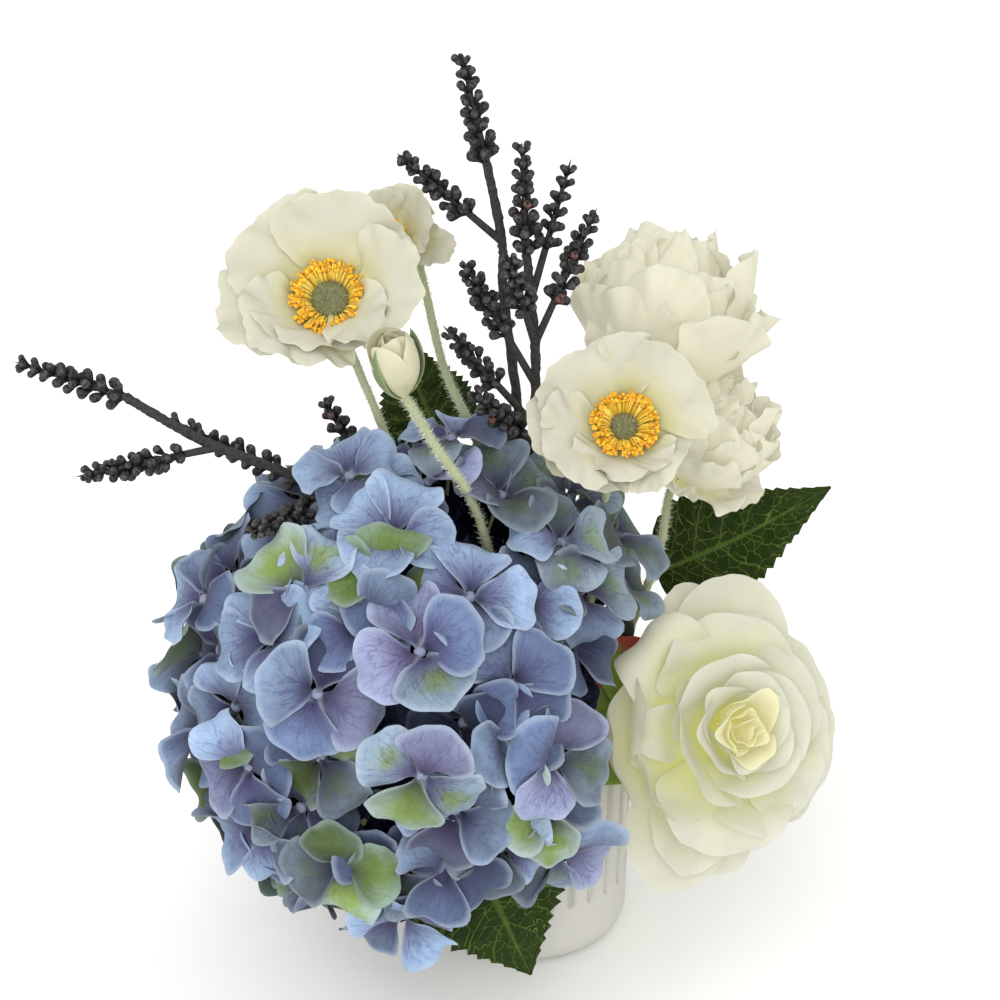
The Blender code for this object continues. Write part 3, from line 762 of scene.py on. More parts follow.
def floret_paint(name, body, foot=LILAC, patch=None, patch_low=0.62, vein=VEIN, rim_colour=PALE_RIM,
                 veining=0.88, cloth=SILK):
    """A petal's finish from its body colour, the colour at its foot and, if given, a patch's colour."""
    paint = Paint(name, **cloth)
    x, y = paint.spot()
    first, second, far = paint.lot()
    reach = y + FOOT_BELOW
    fan = paint.math("ARCTAN2", x, reach)
    away = (x * x + reach * reach) ** 0.5
    rim = (x * x + y * y) ** 0.5
    lines = paint.noise(paint.joined(fan * 5.0 + first * 40, away * 0.9, second * 30), 1.0, 3.0)
    twigs = paint.noise(paint.joined(fan * 13.0 + second * 40, away * 3.2, first * 30), 1.0, 3.0)
    veins = 1 - paint.step(abs(lines - 0.5), 0.0, 0.035)
    veins = veins + 0.55 * (1 - paint.step(abs(twigs - 0.5), 0.0, 0.05))
    cloud = paint.noise(paint.joined(x * 1.3 + first * 20, y * 1.3, second * 20), 1.0, 2.0)
    bleed = (1 - paint.step(away, 0.35, 1.75)) * (0.45 + 0.7 * second)
    colour = paint.mix(bleed, body, foot)
    if patch:
        spread = (x * x * 1.5 + (y - 0.05) ** 2) ** 0.5 + (cloud - 0.5) * 1.5
        colour = paint.mix(1 - paint.step(spread, patch_low - 0.45, patch_low + 0.30), colour, patch)
    px, py, pz = paint.parts(paint.place())
    # Painted shade: the colour darkens towards the head's middle, where shade falls deep between florets; it
    # also dims the pale rim and the reverse.
    depth = ((px - HEAD_X) ** 2 + (py - HEAD_Y) ** 2 + (pz - HEAD_Z) ** 2) ** 0.5
    painted_light_by_depth = 0.07 + 0.93 * paint.step(depth, DARK_BELOW, LIT_ABOVE)
    # Painted shade: each petal is darker towards its foot, where it lies under its neighbours.
    hollow = 0.30 + 0.86 * paint.step(away, 0.10, 2.0)
    tone = (0.08 + 0.68 * cloud + 0.96 * first) * hollow * painted_light_by_depth
    colour = paint.bright(colour, tone)
    colour = paint.mix(paint.math("MINIMUM", veins, 1.0) * veining * (1.12 - 0.45 * away), colour, vein)
    edge = paint.step(rim + (cloud - 0.5) * 0.16, 0.78, 1.0)
    colour = paint.mix(edge * painted_light_by_depth * 0.43, colour, rim_colour)
    colour = paint.mix(far * painted_light_by_depth * 0.45, colour, tuple(0.62 * part for part in rim_colour))
    paint.feed("Base Color", colour)
    weave = paint.noise(paint.place(), 1500.0, 1.0)
    paint.bump(0.5 * weave - veins * 0.8 + lines * 0.8, 0.00022, 0.55)
    paint.let_light_through(colour, 0.14)
    return paint.material


TINTS = {
    "b": floret_paint("petal_clear_blue", (0.258, 0.354, 0.520)),
    "p": floret_paint("petal_periwinkle", (0.145, 0.202, 0.350)),
    "l": floret_paint("petal_lilac", (0.232, 0.258, 0.405), foot=(0.18, 0.14, 0.31)),
    "m": floret_paint("petal_blue_with_green", (0.26, 0.350, 0.445), patch=(0.235, 0.320, 0.13),
                      patch_low=0.42),
    "k": floret_paint("petal_lime", (0.29, 0.380, 0.31), foot=(0.16, 0.21, 0.14), patch=(0.240, 0.345, 0.10),
                      patch_low=0.68, vein=(0.09, 0.13, 0.07), veining=0.45),
    "g": floret_paint("petal_green", (0.16, 0.225, 0.15), foot=(0.09, 0.10, 0.12),
                      patch=(0.120, 0.190, 0.050), patch_low=0.80, vein=(0.04, 0.065, 0.045),
                      veining=0.5, rim_colour=(0.33, 0.43, 0.43)),
    # Partly painted shade: the slate tint is a greyed blue-green, set mostly on the shaded florets at the
    # right, behind the rose.
    "t": floret_paint("petal_slate_and_shade", (0.205, 0.260, 0.320), foot=(0.13, 0.14, 0.21), patch=(0.17, 0.24, 0.16),
                      patch_low=0.55, rim_colour=(0.34, 0.42, 0.46)),
    # Painted shade: the deep florets get a near-black navy, a dark layer that stands for the shade in the
    # gaps between florets.
    "d": floret_paint("petal_painted_shade_navy", (0.055, 0.072, 0.125), foot=(0.04, 0.04, 0.08),
                      rim_colour=(0.09, 0.125, 0.175), cloth=MATT_SILK),
}
TINT_ORDER = list(TINTS)
button = Paint("floret_button", Roughness=0.7, Sheen_Weight=0.2)
grain = button.noise(button.place(), 500.0)
button.feed("Base Color", button.mix(grain, (0.15, 0.165, 0.29), (0.27, 0.29, 0.41)))
button.bump(button.noise(button.place(), 1400.0), 0.0003, 0.5)
print("floret tints:", ", ".join(TINTS))

# %% [markdown]
# ## Where the florets sit
# A mop head is a ball of florets that overlap like shingles. The ones in front are listed one by one:
# their place in the camera's picture, how far out from the head's middle they stand, which way the
# first petal points, and their petals' tints, anticlockwise. The rest of the ball is filled by a rule:
# walk a spiral that spreads points evenly over a ball, and keep each point that is far enough from
# those before it. A second, deeper and darker layer closes the gaps.

# %% Floret places
HEAD_SEEDS = {
    "head_top": (-90, 84), "head_upper_front": (-92, 38), "head_upper_right": (-18, 41),
    "head_upper_back_right": (52, 38), "head_upper_back": (124, 38), "head_upper_left": (196, 38),
    "head_front_right": (-53, -10), "head_front": (-104, -12), "head_left": (-158, -12),
    "head_back_left": (148, -12), "head_back": (100, -10), "head_back_right": (46, -6),
    "head_low_front": (-122, -56), "head_low_left": (168, -56),
}
HEAD_OPEN = [(-12, -2), (-58, -50), (0, -50), (60, -52), (110, -60), (0, -90)]
# across, down, millimetres out, turn of the first petal, tints, size
FRONT_FLORETS = [
    (469, 598, 84, 80, "bbbb", 1.12), (517, 606, 77, 75, "bbbb", 1.00), (578, 591, 80, 92, "ttbt", 1.05),
    (618, 582, 80, 78, "gttt", 1.00), (428, 484, 82, 72, "llll", 1.05), (393, 536, 84, 62, "bbbb", 1.08),
    (391, 582, 84, 84, "ggpg", 1.05), (306, 594, 84, 140, "klgm", 1.10), (236, 578, 78, 100, "pppp", 1.00),
    (340, 566, 80, 135, "bbtb", 1.00), (368, 504, 80, 112, "mbbb", 1.00), (272, 640, 82, 198, "bbbb", 1.08),
    (318, 694, 85, 162, "bplp", 1.10), (362, 628, 80, 120, "bppb", 1.00), (420, 652, 86, 205, "lmpl", 1.12),
    (509, 684, 84, 48, "pbpp", 1.10), (505, 738, 80, 285, "kppb", 1.00), (549, 757, 85, 72, "lplt", 1.08),
    (543, 806, 80, 192, "kkbb", 1.00), (556, 848, 80, 196, "tmlb", 1.18), (422, 774, 90, 148, "mkml", 1.12),
    (455, 808, 80, 244, "lbbb", 1.05), (448, 862, 80, 238, "pppb", 1.05), (402, 912, 86, 228, "bbbb", 1.05),
    (345, 862, 84, 268, "kggt", 1.05), (312, 876, 78, 240, "tttg", 0.95), (268, 828, 80, 262, "bbbb", 1.08),
    (250, 765, 82, 196, "lppb", 1.08), (216, 780, 74, 205, "gbbl", 1.00), (322, 756, 78, 225, "ktkp", 1.00),
    (238, 706, 79, 192, "bgbb", 1.00), (302, 806, 78, 262, "mbbt", 0.95), (566, 500, 88, 120, "tttt", 1.05),
    (500, 497, 84, 95, "tltt", 1.05), (566, 644, 74, 50, "pppp", 1.00), (655, 606, 90, 20, "tbtt", 1.00),
    (464, 722, 74, 300, "pppp", 1.00), (222, 650, 78, 180, "bbbp", 1.00), (392, 862, 78, 220, "ptpp", 1.00),
    (584, 705, 68, 20, "pppp", 1.00), (360, 720, 66, 200, "pppp", 1.00),
    (612, 536, 90, 100, "gttt", 1.00), (668, 584, 93, 40, "tttt", 0.95), (560, 545, 88, 80, "tbtt", 1.00),
    (500, 846, 79, 262, "tbmt", 1.00), (452, 440, 93, 92, "bbtb", 0.95), (350, 478, 88, 110, "bbbb", 0.95),
    (206, 600, 88, 190, "bbpb", 0.95),
]
FILL_TRIALS = 900                 # places on the ball that the rule looks at
FILL_SPACING = math.radians(17.5)
FILL_OUT = 0.077
FILL_TINTS = ["bbbb", "bbpb", "pppp", "llbl", "bmbk", "kgkm", "ggtg", "bblm", "tbtt", "mbkm"]
DEEP_OUT = 0.060
DEEP_COUNT = 90
SHOWN = 0.22                      # how much the florets in front turn towards the viewer
DEEP_SIZE = 0.95
POT_CLEAR = 0.0415                # what petals keep from the pot's axis, below its rim


def directions(angles):
    """Unit vectors at (azimuth, elevation) in degrees."""
    a, e = np.radians(np.asarray(angles, float)).T
    return np.stack([np.cos(e) * np.cos(a), np.cos(e) * np.sin(a), np.sin(e)], -1)


def spiral_ball(count):
    """Points spread evenly over a ball: heights in equal steps, each a golden angle round."""
    height = 1 - (2 * np.arange(count) + 1) / count
    turn = np.arange(count) * math.pi * (3 - math.sqrt(5))
    level = np.sqrt(1 - height ** 2)
    return np.stack([level * np.cos(turn), level * np.sin(turn), height], -1)


SEED_WAYS = directions(list(HEAD_SEEDS.values()) + HEAD_OPEN)


def mass_of(ways):
    """The number of the seed that each direction is nearest to; past the masses, it is left open."""
    return np.argmax(ways @ SEED_WAYS.T, axis=1)


def kept_apart(candidates, taken, spacing):
    """The candidates, in order, that stay a spacing from those taken and kept before them."""
    kept = list(taken)
    for way in candidates:
        if max(way @ other for other in kept) < math.cos(spacing):
            kept.append(way)
    return np.array(kept[len(taken):])


table = np.array([row[:4] + row[5:] for row in FRONT_FLORETS])
front_places = on_ball(table[:, 0], table[:, 1], HEAD_CENTRE, table[:, 2] / 1000)
front_ways = unit(front_places - HEAD_CENTRE)
fill_ways = kept_apart(spiral_ball(FILL_TRIALS), front_ways, FILL_SPACING)
fill_ways = fill_ways[mass_of(fill_ways) < len(HEAD_SEEDS)]
deep_ways = spiral_ball(DEEP_COUNT)
deep_ways = deep_ways[mass_of(deep_ways) < len(HEAD_SEEDS)]

draws = np.random.default_rng(31)
fill_places = HEAD_CENTRE + (FILL_OUT + draws.normal(0, 0.002, (len(fill_ways), 1))) * fill_ways
deep_places = HEAD_CENTRE + (DEEP_OUT + draws.normal(0, 0.003, (len(deep_ways), 1))) * deep_ways
floret_places = np.vstack([front_places, fill_places, deep_places])
floret_ways = np.vstack([front_ways, fill_ways, deep_ways])
floret_count = len(floret_ways)
tint_words = [row[4] for row in FRONT_FLORETS]
tint_words += [FILL_TINTS[i] for i in draws.integers(0, len(FILL_TINTS), len(fill_ways))]
tint_words += ["dddd"] * len(deep_ways)
floret_tints = np.array([[TINT_ORDER.index(letter) for letter in word] for word in tint_words])
floret_turns = np.concatenate([np.radians(table[:, 3]), draws.random(len(fill_ways) + len(deep_ways)) * 6.28])
floret_sizes = np.concatenate([table[:, 4], draws.normal(1.04, 0.04, len(fill_ways)),
                               np.full(len(deep_ways), DEEP_SIZE)])
lean = np.concatenate([draws.normal(0, 0.10, (len(front_ways), 3)),
                       draws.normal(0, 0.20, (len(fill_ways), 3)),
                       draws.normal(0, 0.25, (len(deep_ways), 3))])
lean[:len(front_ways)] += SHOWN * TOWARD
floret_axes = frames(floret_ways + lean, level=RISE)
floret_mass = mass_of(floret_ways)
print("florets:", len(front_ways), "by hand,", len(fill_ways), "by rule,", len(deep_ways), "deep")

# %% [markdown]
# ## Floret petals
# Four broad petals to a floret, each a little different: they rise from the button like a shallow cup
# and then curl back at the rim. A petal that would cut into the pot is pressed out to its wall, as a
# real silk petal drapes over it.

# %% Floret petals
PETALS_EACH = 4
PETAL_CELLS = 13
PETAL_LENGTH = 0.0208
PETAL_HALF = 0.0134
PETAL_THICKNESS = 0.00042
PETAL_START = 0.0012              # from the floret's middle
PETAL_STEP = 0.0011               # every other petal stands this much higher, to lie over its neighbours
POT_FADE = 0.006                  # height above the pot's rim over which its push on petals fades
FLOOR_CLEAR = 0.001


def floret_petals(draws):
    """Every floret's petals, as (florets, 4, points, 3)."""
    count = floret_count * PETALS_EACH
    size = np.repeat(floret_sizes, PETALS_EACH)
    sheets = petals(PETAL_CELLS, draws, PETAL_LENGTH * size * draws.normal(1, 0.05, count),
                    PETAL_HALF * size * draws.normal(1, 0.06, count),
                    pitch=np.radians(draws.normal(46, 9, count)),
                    bend=np.radians(draws.normal(-80, 15, count)),
                    cup=draws.normal(0.40, 0.30, count),
                    lip=np.radians(draws.normal(-14, 15, count)),
                    twist=draws.normal(0, 0.16, count), claw=0.22, neck=0.62,
                    point=np.maximum(draws.normal(0.02, 0.05, count), 0), ragged=0.012,
                    ripple=0.0011 * size, waves=3, crease=0.00020, creases=8)
    sheets[..., 1] += PETAL_START
    sheets[..., 2] += PETAL_STEP * np.tile([0, 1, 0, 1], floret_count)[:, None, None]
    points = shells(sheets, PETAL_THICKNESS)
    turns = floret_turns[:, None] + np.radians(90) * np.arange(PETALS_EACH)
    turns = (turns + draws.normal(0, 0.10, turns.shape)).ravel()
    axes = turned(np.repeat(floret_axes, PETALS_EACH, axis=0), turns)
    points = laid(points, axes, np.repeat(floret_places, PETALS_EACH, axis=0))
    return off_the_pot(points).reshape(floret_count, PETALS_EACH, -1, 3)


def off_the_pot(points):
    """Points beside the pot, pressed out from its axis to its wall: radius becomes at least the
    pot's, and the push fades above the rim."""
    radius = np.hypot(points[..., 0], points[..., 1])
    below = 1 - eased((points[..., 2] - POT_HEIGHT) / POT_FADE)
    wanted = np.maximum(radius, POT_CLEAR)
    share = 1 + below * (wanted / np.maximum(radius, 1e-6) - 1)
    moved = points.copy()
    moved[..., :2] *= share[..., None]
    moved[..., 2] = np.maximum(moved[..., 2], FLOOR_CLEAR)
    return moved


BUTTON_PROFILE = [(0.0001, 0.0011), (0.0006, 0.0022), (0.0014, 0.0021), (0.0019, 0.0012)]
BUTTON_SIDES = 8
STALK_HALF = 0.00075
STALK_RINGS = 6
STALK_SIDES = 6
STALK_FROM = 0.12                 # share of the way out from the knuckle at which a stalk is first seen
KNUCKLE = HEAD_CENTRE + np.array([0.004, 0.002, -0.006])

floret_points = floret_petals(np.random.default_rng(32))
stalk_starts = KNUCKLE + STALK_FROM * (floret_places - KNUCKLE)
stalk_paths = np.linspace(stalk_starts, floret_places, STALK_RINGS, axis=1)
button_shape = turned_shape(BUTTON_PROFILE, BUTTON_SIDES, 0.0, BUTTON_PROFILE[-1][0])
buttons = laid(np.repeat(button_shape[None], floret_count, axis=0), floret_axes, floret_places)

stalk_green = grained("stalk_green", (0.10, 0.15, 0.05), (0.30, 0.34, 0.16), 120.0, Roughness=0.6)
petal_weave = shell_weave(PETAL_CELLS + 1, PETAL_CELLS + 1, round_pattern=True)
for number, name in enumerate(HEAD_SEEDS):
    own = floret_mass == number
    piece = Piece("florets_" + name.removeprefix("head_"), 100 + number)
    piece.add(petal_weave, floret_points[own].reshape(-1, petal_weave.size, 3), floret_tints[own].ravel())
    piece.add(tube_weave(len(BUTTON_PROFILE), BUTTON_SIDES), buttons[own], len(TINTS))
    add_tubes(piece, stalk_paths[own], STALK_HALF, STALK_SIDES, len(TINTS) + 1)
    piece.build(list(TINTS.values()) + [button.material, stalk_green.material], [name])
print("florets:", sum(count for name, count in triangle_count.items() if "florets" in name), "triangles")

# %% [markdown]
# ## Cream finishes
# The poppies, the ruffled blooms and the rose are of one thin cream silk, airbrushed yellow green deep
# in the bloom. The same finish serves all three, with its own colours: the foot's tint fades along the
# petal, and fine pale creases run out from the foot, as where the cloth was pressed over a ribbed mould.
# The fuller blooms also get a faint glow, an emission that paints light into their shaded folds, for the
# light that scatters about in thin cloth.

# %% Cream finishes
CREAM_SILK = dict(Roughness=0.68, Specular_IOR_Level=0.25, Sheen_Weight=0.15, Sheen_Roughness=0.5)


def cream_paint(name, body, foot, reverse, foot_reach=0.9, creases=6.0, see_through=0.38, glow=0.0):
    """A cream petal's finish: its body, the tint at its foot and how far it reaches, its reverse, and
    how fine its creases are. Glow is an emission that paints light into the shaded folds, for the light
    that scatters about inside thin white cloth."""
    paint = Paint(name, Emission_Strength=glow, **CREAM_SILK)
    x, y = paint.spot()
    first, second, far = paint.lot()
    reach = y + FOOT_BELOW
    fan = paint.math("ARCTAN2", x, reach)
    away = (x * x + reach * reach) ** 0.5
    cloud = paint.noise(paint.joined(x * 1.1 + first * 30, y * 1.1, second * 30), 1.0, 2.0)
    ribs = paint.noise(paint.joined(fan * creases + second * 50, away * 0.7, first * 30), 1.0, 3.0)
    shade = (1 - paint.step(away + (cloud - 0.5) * 0.7, 0.30, 0.55 + foot_reach)) * (0.80 + 0.4 * first)
    colour = paint.mix(shade, body, foot)
    colour = paint.mix(paint.step(ribs, 0.45, 0.75) * 0.28, colour, reverse)
    colour = paint.mix(far * 0.65, colour, reverse)
    colour = paint.bright(colour, 0.90 + 0.14 * cloud)
    # Painted highlight: each petal's rim is mixed towards a lighter cream, a crisp edge of light.
    rim = (x * x + y * y) ** 0.5 + (cloud - 0.5) * 0.12
    colour = paint.mix(paint.step(rim, 0.84, 1.0) * 0.32, colour, tuple(1.05 * part for part in body))
    paint.feed("Base Color", colour)
    # Painted light: the emission repeats the colour, a glow that lifts the shade in the folds.
    paint.feed("Emission Color", colour)
    cloth = paint.noise(paint.place(), 1300.0, 1.0)
    paint.bump(ribs + 0.12 * cloth, 0.0009, 0.5)
    paint.let_light_through(colour, see_through)
    return paint.material


poppy_cream = cream_paint("poppy_cream", (0.740, 0.728, 0.615), (0.70, 0.67, 0.17), (0.71, 0.70, 0.53),
                          foot_reach=1.20, creases=9.0)
ruffled_cream = cream_paint("ruffled_cream", (0.665, 0.655, 0.570), (0.82, 0.80, 0.46), (0.72, 0.70, 0.56),
                            foot_reach=1.20, see_through=0.42, glow=0.34)
rose_cream = cream_paint("rose_cream", (0.668, 0.666, 0.592), (0.88, 0.89, 0.32), (0.77, 0.78, 0.56),
                         foot_reach=1.60, creases=4.0, see_through=0.40, glow=0.21)
rose_heart = cream_paint("rose_heart", (0.80, 0.785, 0.60), (0.86, 0.83, 0.38), (0.82, 0.79, 0.50),
                         foot_reach=1.4, creases=4.0, see_through=0.50, glow=0.29)
bud_cream = cream_paint("bud_cream", (0.76, 0.745, 0.58), (0.68, 0.70, 0.30), (0.80, 0.78, 0.55))

# %% [markdown]
# ## Blooms
# A bloom is a list of petals, each with its turn round the bloom, its length and half width, and the
# way it rises, bends, closes and curls. Given lists follow the real bloom; inner whorls, which
# only show as a crowd, are filled in by a rule. All of a bloom's petals grow from one seat behind it.

# %% Bloom frames
BLOOMS = {
    "poppy_left": ((-0.072, -0.010, 0.268), (-0.08, -0.72, 0.69)),
    "poppy_small": ((-0.040, 0.024, 0.272), (-0.42, -0.62, 0.66)),
    "poppy_right": ((0.032, -0.028, 0.2230), (0.04, -0.76, 0.65)),
    "ruffled_top": ((0.052, 0.040, 0.242), (0.22, 0.30, 0.93)),
    "ruffled_right": ((0.073, 0.022, 0.193), (0.45, -0.10, 0.89)),
    "rose": ((0.0675, -0.040, 0.102), (0.30, -0.80, 0.48)),
}
# each bloom's seat, where its petals and its stem meet: to the side, up, and back from its centre
SEATS = {
    "poppy_left": (0.0038, -0.0060, 0.008), "poppy_small": (-0.0073, -0.0034, 0.006),
    "poppy_right": (0.0012, -0.0014, 0.008), "ruffled_top": (0.0, 0.0, 0.034),
    "ruffled_right": (-0.001, 0.007, 0.021), "rose": (0.0075, 0.0020, 0.016),
}
BLOOM_CELLS = 24
bloom_weave = shell_weave(BLOOM_CELLS + 1, BLOOM_CELLS + 1, round_pattern=True)


def bloom_seat(name, side=0.0, rise=0.0, back=0.0):
    """A bloom's frame, and its seat: its centre moved to the side, up its own rise, and back."""
    centre, facing = BLOOMS[name]
    axes = frames(facing)
    return axes, np.asarray(centre) + axes[0] @ np.array([side, rise, -back])


def bloom_petals(rows, draws, axes, seat, thickness=0.00045, **manner):
    """Shell points of a bloom's petals. Each row: turn in degrees, length and half width in mm, pitch,
    bend, cup in radians, lip, and how far from the seat it starts and how high, in mm."""
    turn, length, half, pitch, bend, cup, lip, start, lift = np.asarray(rows, float).T
    sheets = petals(BLOOM_CELLS, draws, length / 1000, half / 1000, np.radians(pitch), np.radians(bend), cup,
                    np.radians(lip), **manner)
    sheets[..., 1] += start[:, None, None] / 1000
    sheets[..., 2] += lift[:, None, None] / 1000
    stack = turned(np.repeat(axes, len(turn), axis=0), np.radians(turn))
    return laid(shells(sheets, thickness), stack, np.repeat(seat[None], len(turn), axis=0))


def whorl(count, first_turn, draws, length, half, pitch, bend, cup, lip, start, lift, spread=0.06):
    """Rows of a whorl: evenly turned petals, each number varied by a share."""
    turn = first_turn + 360 / count * np.arange(count) + draws.normal(0, 6, count)
    vary = draws.normal(1, spread, (7, count))
    plain = np.array([length, half, pitch, bend, cup, lip, start])[:, None] * vary
    return np.vstack([turn, plain, np.full(count, lift)]).T


# %% [markdown]
# ## Poppies
# A poppy has few petals, as broad as they are long, crinkled like paper with fraying edges, round a
# golden ring of stamens and a grey-green hairy ovary. Filaments are thin tapered tubes, anthers are
# crumpled grains on their ends, and hairs are the same tube again, finer: one batch each.

# %% Poppies
# turn, length, half width, pitch, bend, cup, lip, start, lift
POPPY_PETALS = {
    "poppy_left": [
        (236, 26, 22, 34, -6, 0.25, -14, 3, -1.2), (186, 38, 18, 10, -4, 0.15, -16, 3, -0.8),
        (130, 38, 26, 24, -6, 0.25, -14, 3, -0.4), (82, 37, 25, 30, -8, 0.32, -12, 3, 0.2),
        (3, 38, 23, 42, -10, 0.50, -8, 3, 0.8), (276, 22, 20, 40, -8, 0.35, -12, 3, 0.2),
        (210, 31, 18, 28, -6, 0.30, -18, 3, 0.4), (322, 27, 14, 56, -34, 0.60, -10, 4, 1.4),
    ],
    "poppy_small": [
        (104, 19, 15, 34, -10, 0.40, -8, 1.5, 0.0), (46, 18, 14, 38, -12, 0.45, -8, 1.5, 0.3),
        (160, 18, 14, 40, -12, 0.45, -8, 1.5, 0.5), (262, 13, 12, 40, -14, 0.40, -6, 1.5, 0.6),
        (4, 21, 8, 8, -6, 0.30, -26, 1.5, -0.8), (214, 15, 12, 30, -10, 0.40, -6, 1.5, -0.4),
    ],
    "poppy_right": [
        (168, 31, 21, 14, -4, 0.20, -16, 3, -1.2), (222, 22, 18, 20, -4, 0.20, -12, 3, -1.4),
        (334, 22, 21, 22, -6, 0.25, -12, 3, -0.6), (118, 30, 26, 26, -8, 0.32, -12, 3, 0.0),
        (46, 30, 25, 28, -10, 0.32, -10, 3, 0.4), (196, 29, 19, 28, -8, 0.30, -18, 3, 0.4),
        (248, 19, 16, 32, -10, 0.40, -12, 3, 0.6), (284, 18, 16, 28, -10, 0.30, -14, 3, 0.4),
    ],
}
STAMEN_RINGS = {"poppy_left": (290, 0.0136, 0.0078), "poppy_small": (34, 0.0050, 0.0030),
                "poppy_right": (280, 0.0118, 0.0060)}
# (height in metres on an ovary of OVARY_FULL, share of its radius)
OVARY_PROFILE = [(0.0, 0.55), (0.0016, 0.86), (0.0034, 1.0), (0.0050, 0.96), (0.0060, 0.74), (0.0065, 0.40)]
OVARY_FULL = 0.0078
OVARY_SIDES = 20
OVARY_HAIRS = 70000               # per metre of its radius
OVARY_HAIR_HALF = 0.00013
SMALL_POPPY = 0.55                # ripples and creases of the small one
FILAMENT_RINGS = 5
FILAMENT_SIDES = 4
ANTHER_GIRTH = [0.00040, 0.00074, 0.00070, 0.00034]
ANTHER_SIDES = 5
STAMEN_LIFT = 0.0015              # of the bloom's middle over its seat
hair_weave = tube_weave(3, 3)

gold = dealt("gold_filament", (0.76, 0.46, 0.020), (0.90, 0.72, 0.14), Roughness=0.55)
anther = Paint("orange_anther", Roughness=0.75)
first, _, _ = anther.lot()
grain = anther.noise(anther.place(), 1600.0, 2.0)
anther.feed("Base Color", anther.mix(0.7 * first + 0.5 * grain, (0.58, 0.21, 0.008), (0.92, 0.56, 0.03)))
anther.bump(grain, 0.0005, 0.8)
ovary_green = grained("ovary_green", (0.065, 0.072, 0.028), (0.25, 0.26, 0.12), 900.0, 3.0, relief=0.0006,
                      strength=0.8, Roughness=0.8)
ovary_hair = dealt("ovary_hair", (0.12, 0.13, 0.05), (0.50, 0.50, 0.30), Roughness=0.7)


def stamen_points(draws, count, reach, ovary):
    """Filaments as tubes from round the ovary out to the ring, and an anther on each end. A filament's
    points are start + (end - start) t, with its height bowed by t² so that it rises and leans out."""
    turn = draws.random(count) * 2 * math.pi
    out = reach * (0.62 + 0.38 * draws.random(count) ** 0.7)
    height = 0.0085 - 0.35 * (out - 0.6 * reach) + draws.normal(0, 0.0010, count)
    t = np.linspace(0, 1, FILAMENT_RINGS)[:, None]
    way = np.stack([np.cos(turn), np.sin(turn)], -1)
    radius = 0.72 * ovary + (out[:, None] - 0.72 * ovary) * t[:, 0] ** 1.25
    level = way[:, None, :] * radius[..., None]
    height = np.maximum(height, 0.003)[:, None] * np.sin(0.5 * math.pi * t[:, 0]) ** 0.9
    paths = np.concatenate([level, height[..., None]], axis=2)
    outward = np.concatenate([way * 0.8, np.full((count, 1), 0.5)], 1)
    tilt = unit(outward + draws.normal(0, 0.5, (count, 3)))[:, None, :]
    rings = len(ANTHER_GIRTH)
    grain_path = paths[:, -1:, :] + np.linspace(-0.0007, 0.0009, rings)[:, None] * tilt
    filaments = tubes(paths, np.linspace(0.00042, 0.00026, FILAMENT_RINGS), FILAMENT_SIDES)
    girth = np.array(ANTHER_GIRTH) * draws.normal(1, 0.15, (count, 1))
    grains = tubes(grain_path, girth, ANTHER_SIDES, draws.normal(0, 0.18, (count, rings, ANTHER_SIDES)))
    return filaments, grains


def hair_points(draws, roots, ways, length, half):
    """Fine hairs: three-ringed, three-sided tubes from roots along ways, each bent a little."""
    count = len(roots)
    t = np.linspace(0, 1, 3)[:, None]
    bend = draws.normal(0, 0.25, (count, 3))
    reach = (length * draws.normal(1, 0.22, count))[:, None, None]
    paths = roots[:, None, :] + reach * (t * ways[:, None, :] + t ** 2 * bend[:, None, :])
    return tubes(paths, half * np.array([1.0, 0.75, 0.3]), 3)


def same(shape, copies):
    """One frame or one place, repeated for so many copies."""
    return np.repeat(shape, copies, axis=0)


for number, (name, rows) in enumerate(POPPY_PETALS.items()):
    piece = Piece(name + "_petals", 200 + number)
    axes, seat = bloom_seat(name, *SEATS[name])
    size = SMALL_POPPY if name == "poppy_small" else 1.0
    piece.add(bloom_weave, bloom_petals(rows, piece.draws, axes, seat, claw=0.18, neck=0.5, ragged=0.060,
                                        ripple=0.0019 * size, waves=5, crease=0.00075 * size, creases=9))
    count, reach, ovary = STAMEN_RINGS[name]
    lift = (seat + axes[0] @ np.array([0, 0, STAMEN_LIFT]))[None]
    filaments, grains = stamen_points(piece.draws, count, reach, ovary)
    thread = tube_weave(FILAMENT_RINGS, FILAMENT_SIDES)
    grain = tube_weave(len(ANTHER_GIRTH), ANTHER_SIDES)
    piece.add(thread, laid(filaments, same(axes, count), same(lift, count)), 1)
    piece.add(grain, laid(grains, same(axes, count), same(lift, count)), 2)
    profile = np.array(OVARY_PROFILE) * [ovary / OVARY_FULL, ovary * 0.86]
    body = turned_shape(profile, OVARY_SIDES, 0.0, profile[-1, 0])
    piece.add(tube_weave(len(profile), OVARY_SIDES), laid(body[None], axes, lift), 3)
    hairs = int(OVARY_HAIRS * ovary)
    bearing = unit(piece.draws.normal(0, 1, (hairs, 3)) * [1, 1, 0.75] + [0, 0, 0.55])
    bearing[:, 2] = np.abs(bearing[:, 2])
    roots = bearing * [0.80 * ovary, 0.80 * ovary, 0.74 * ovary] + [0, 0, 0.0004]
    tufts = hair_points(piece.draws, roots, bearing, 0.36 * ovary, OVARY_HAIR_HALF)
    piece.add(hair_weave, laid(tufts, same(axes, hairs), same(lift, hairs)), 4)
    piece.build([poppy_cream, gold.material, anther.material, ovary_green.material, ovary_hair.material],
                [name])
    print(name, triangle_count[piece.name], "triangles")

# %% [markdown]
# ## Ruffled blooms
# Two full blooms behind the poppies are balls of broad, softly waved petals, seen from their sides.
# Whorl after whorl rises more steeply and closes more, so the bloom is full from every side.

# %% Ruffled blooms
# each bloom: size, first turn, and whether it has an open skirt
RUFFLED = {"ruffled_top": (0.90, 7, 0), "ruffled_right": (0.64, 41, 1)}

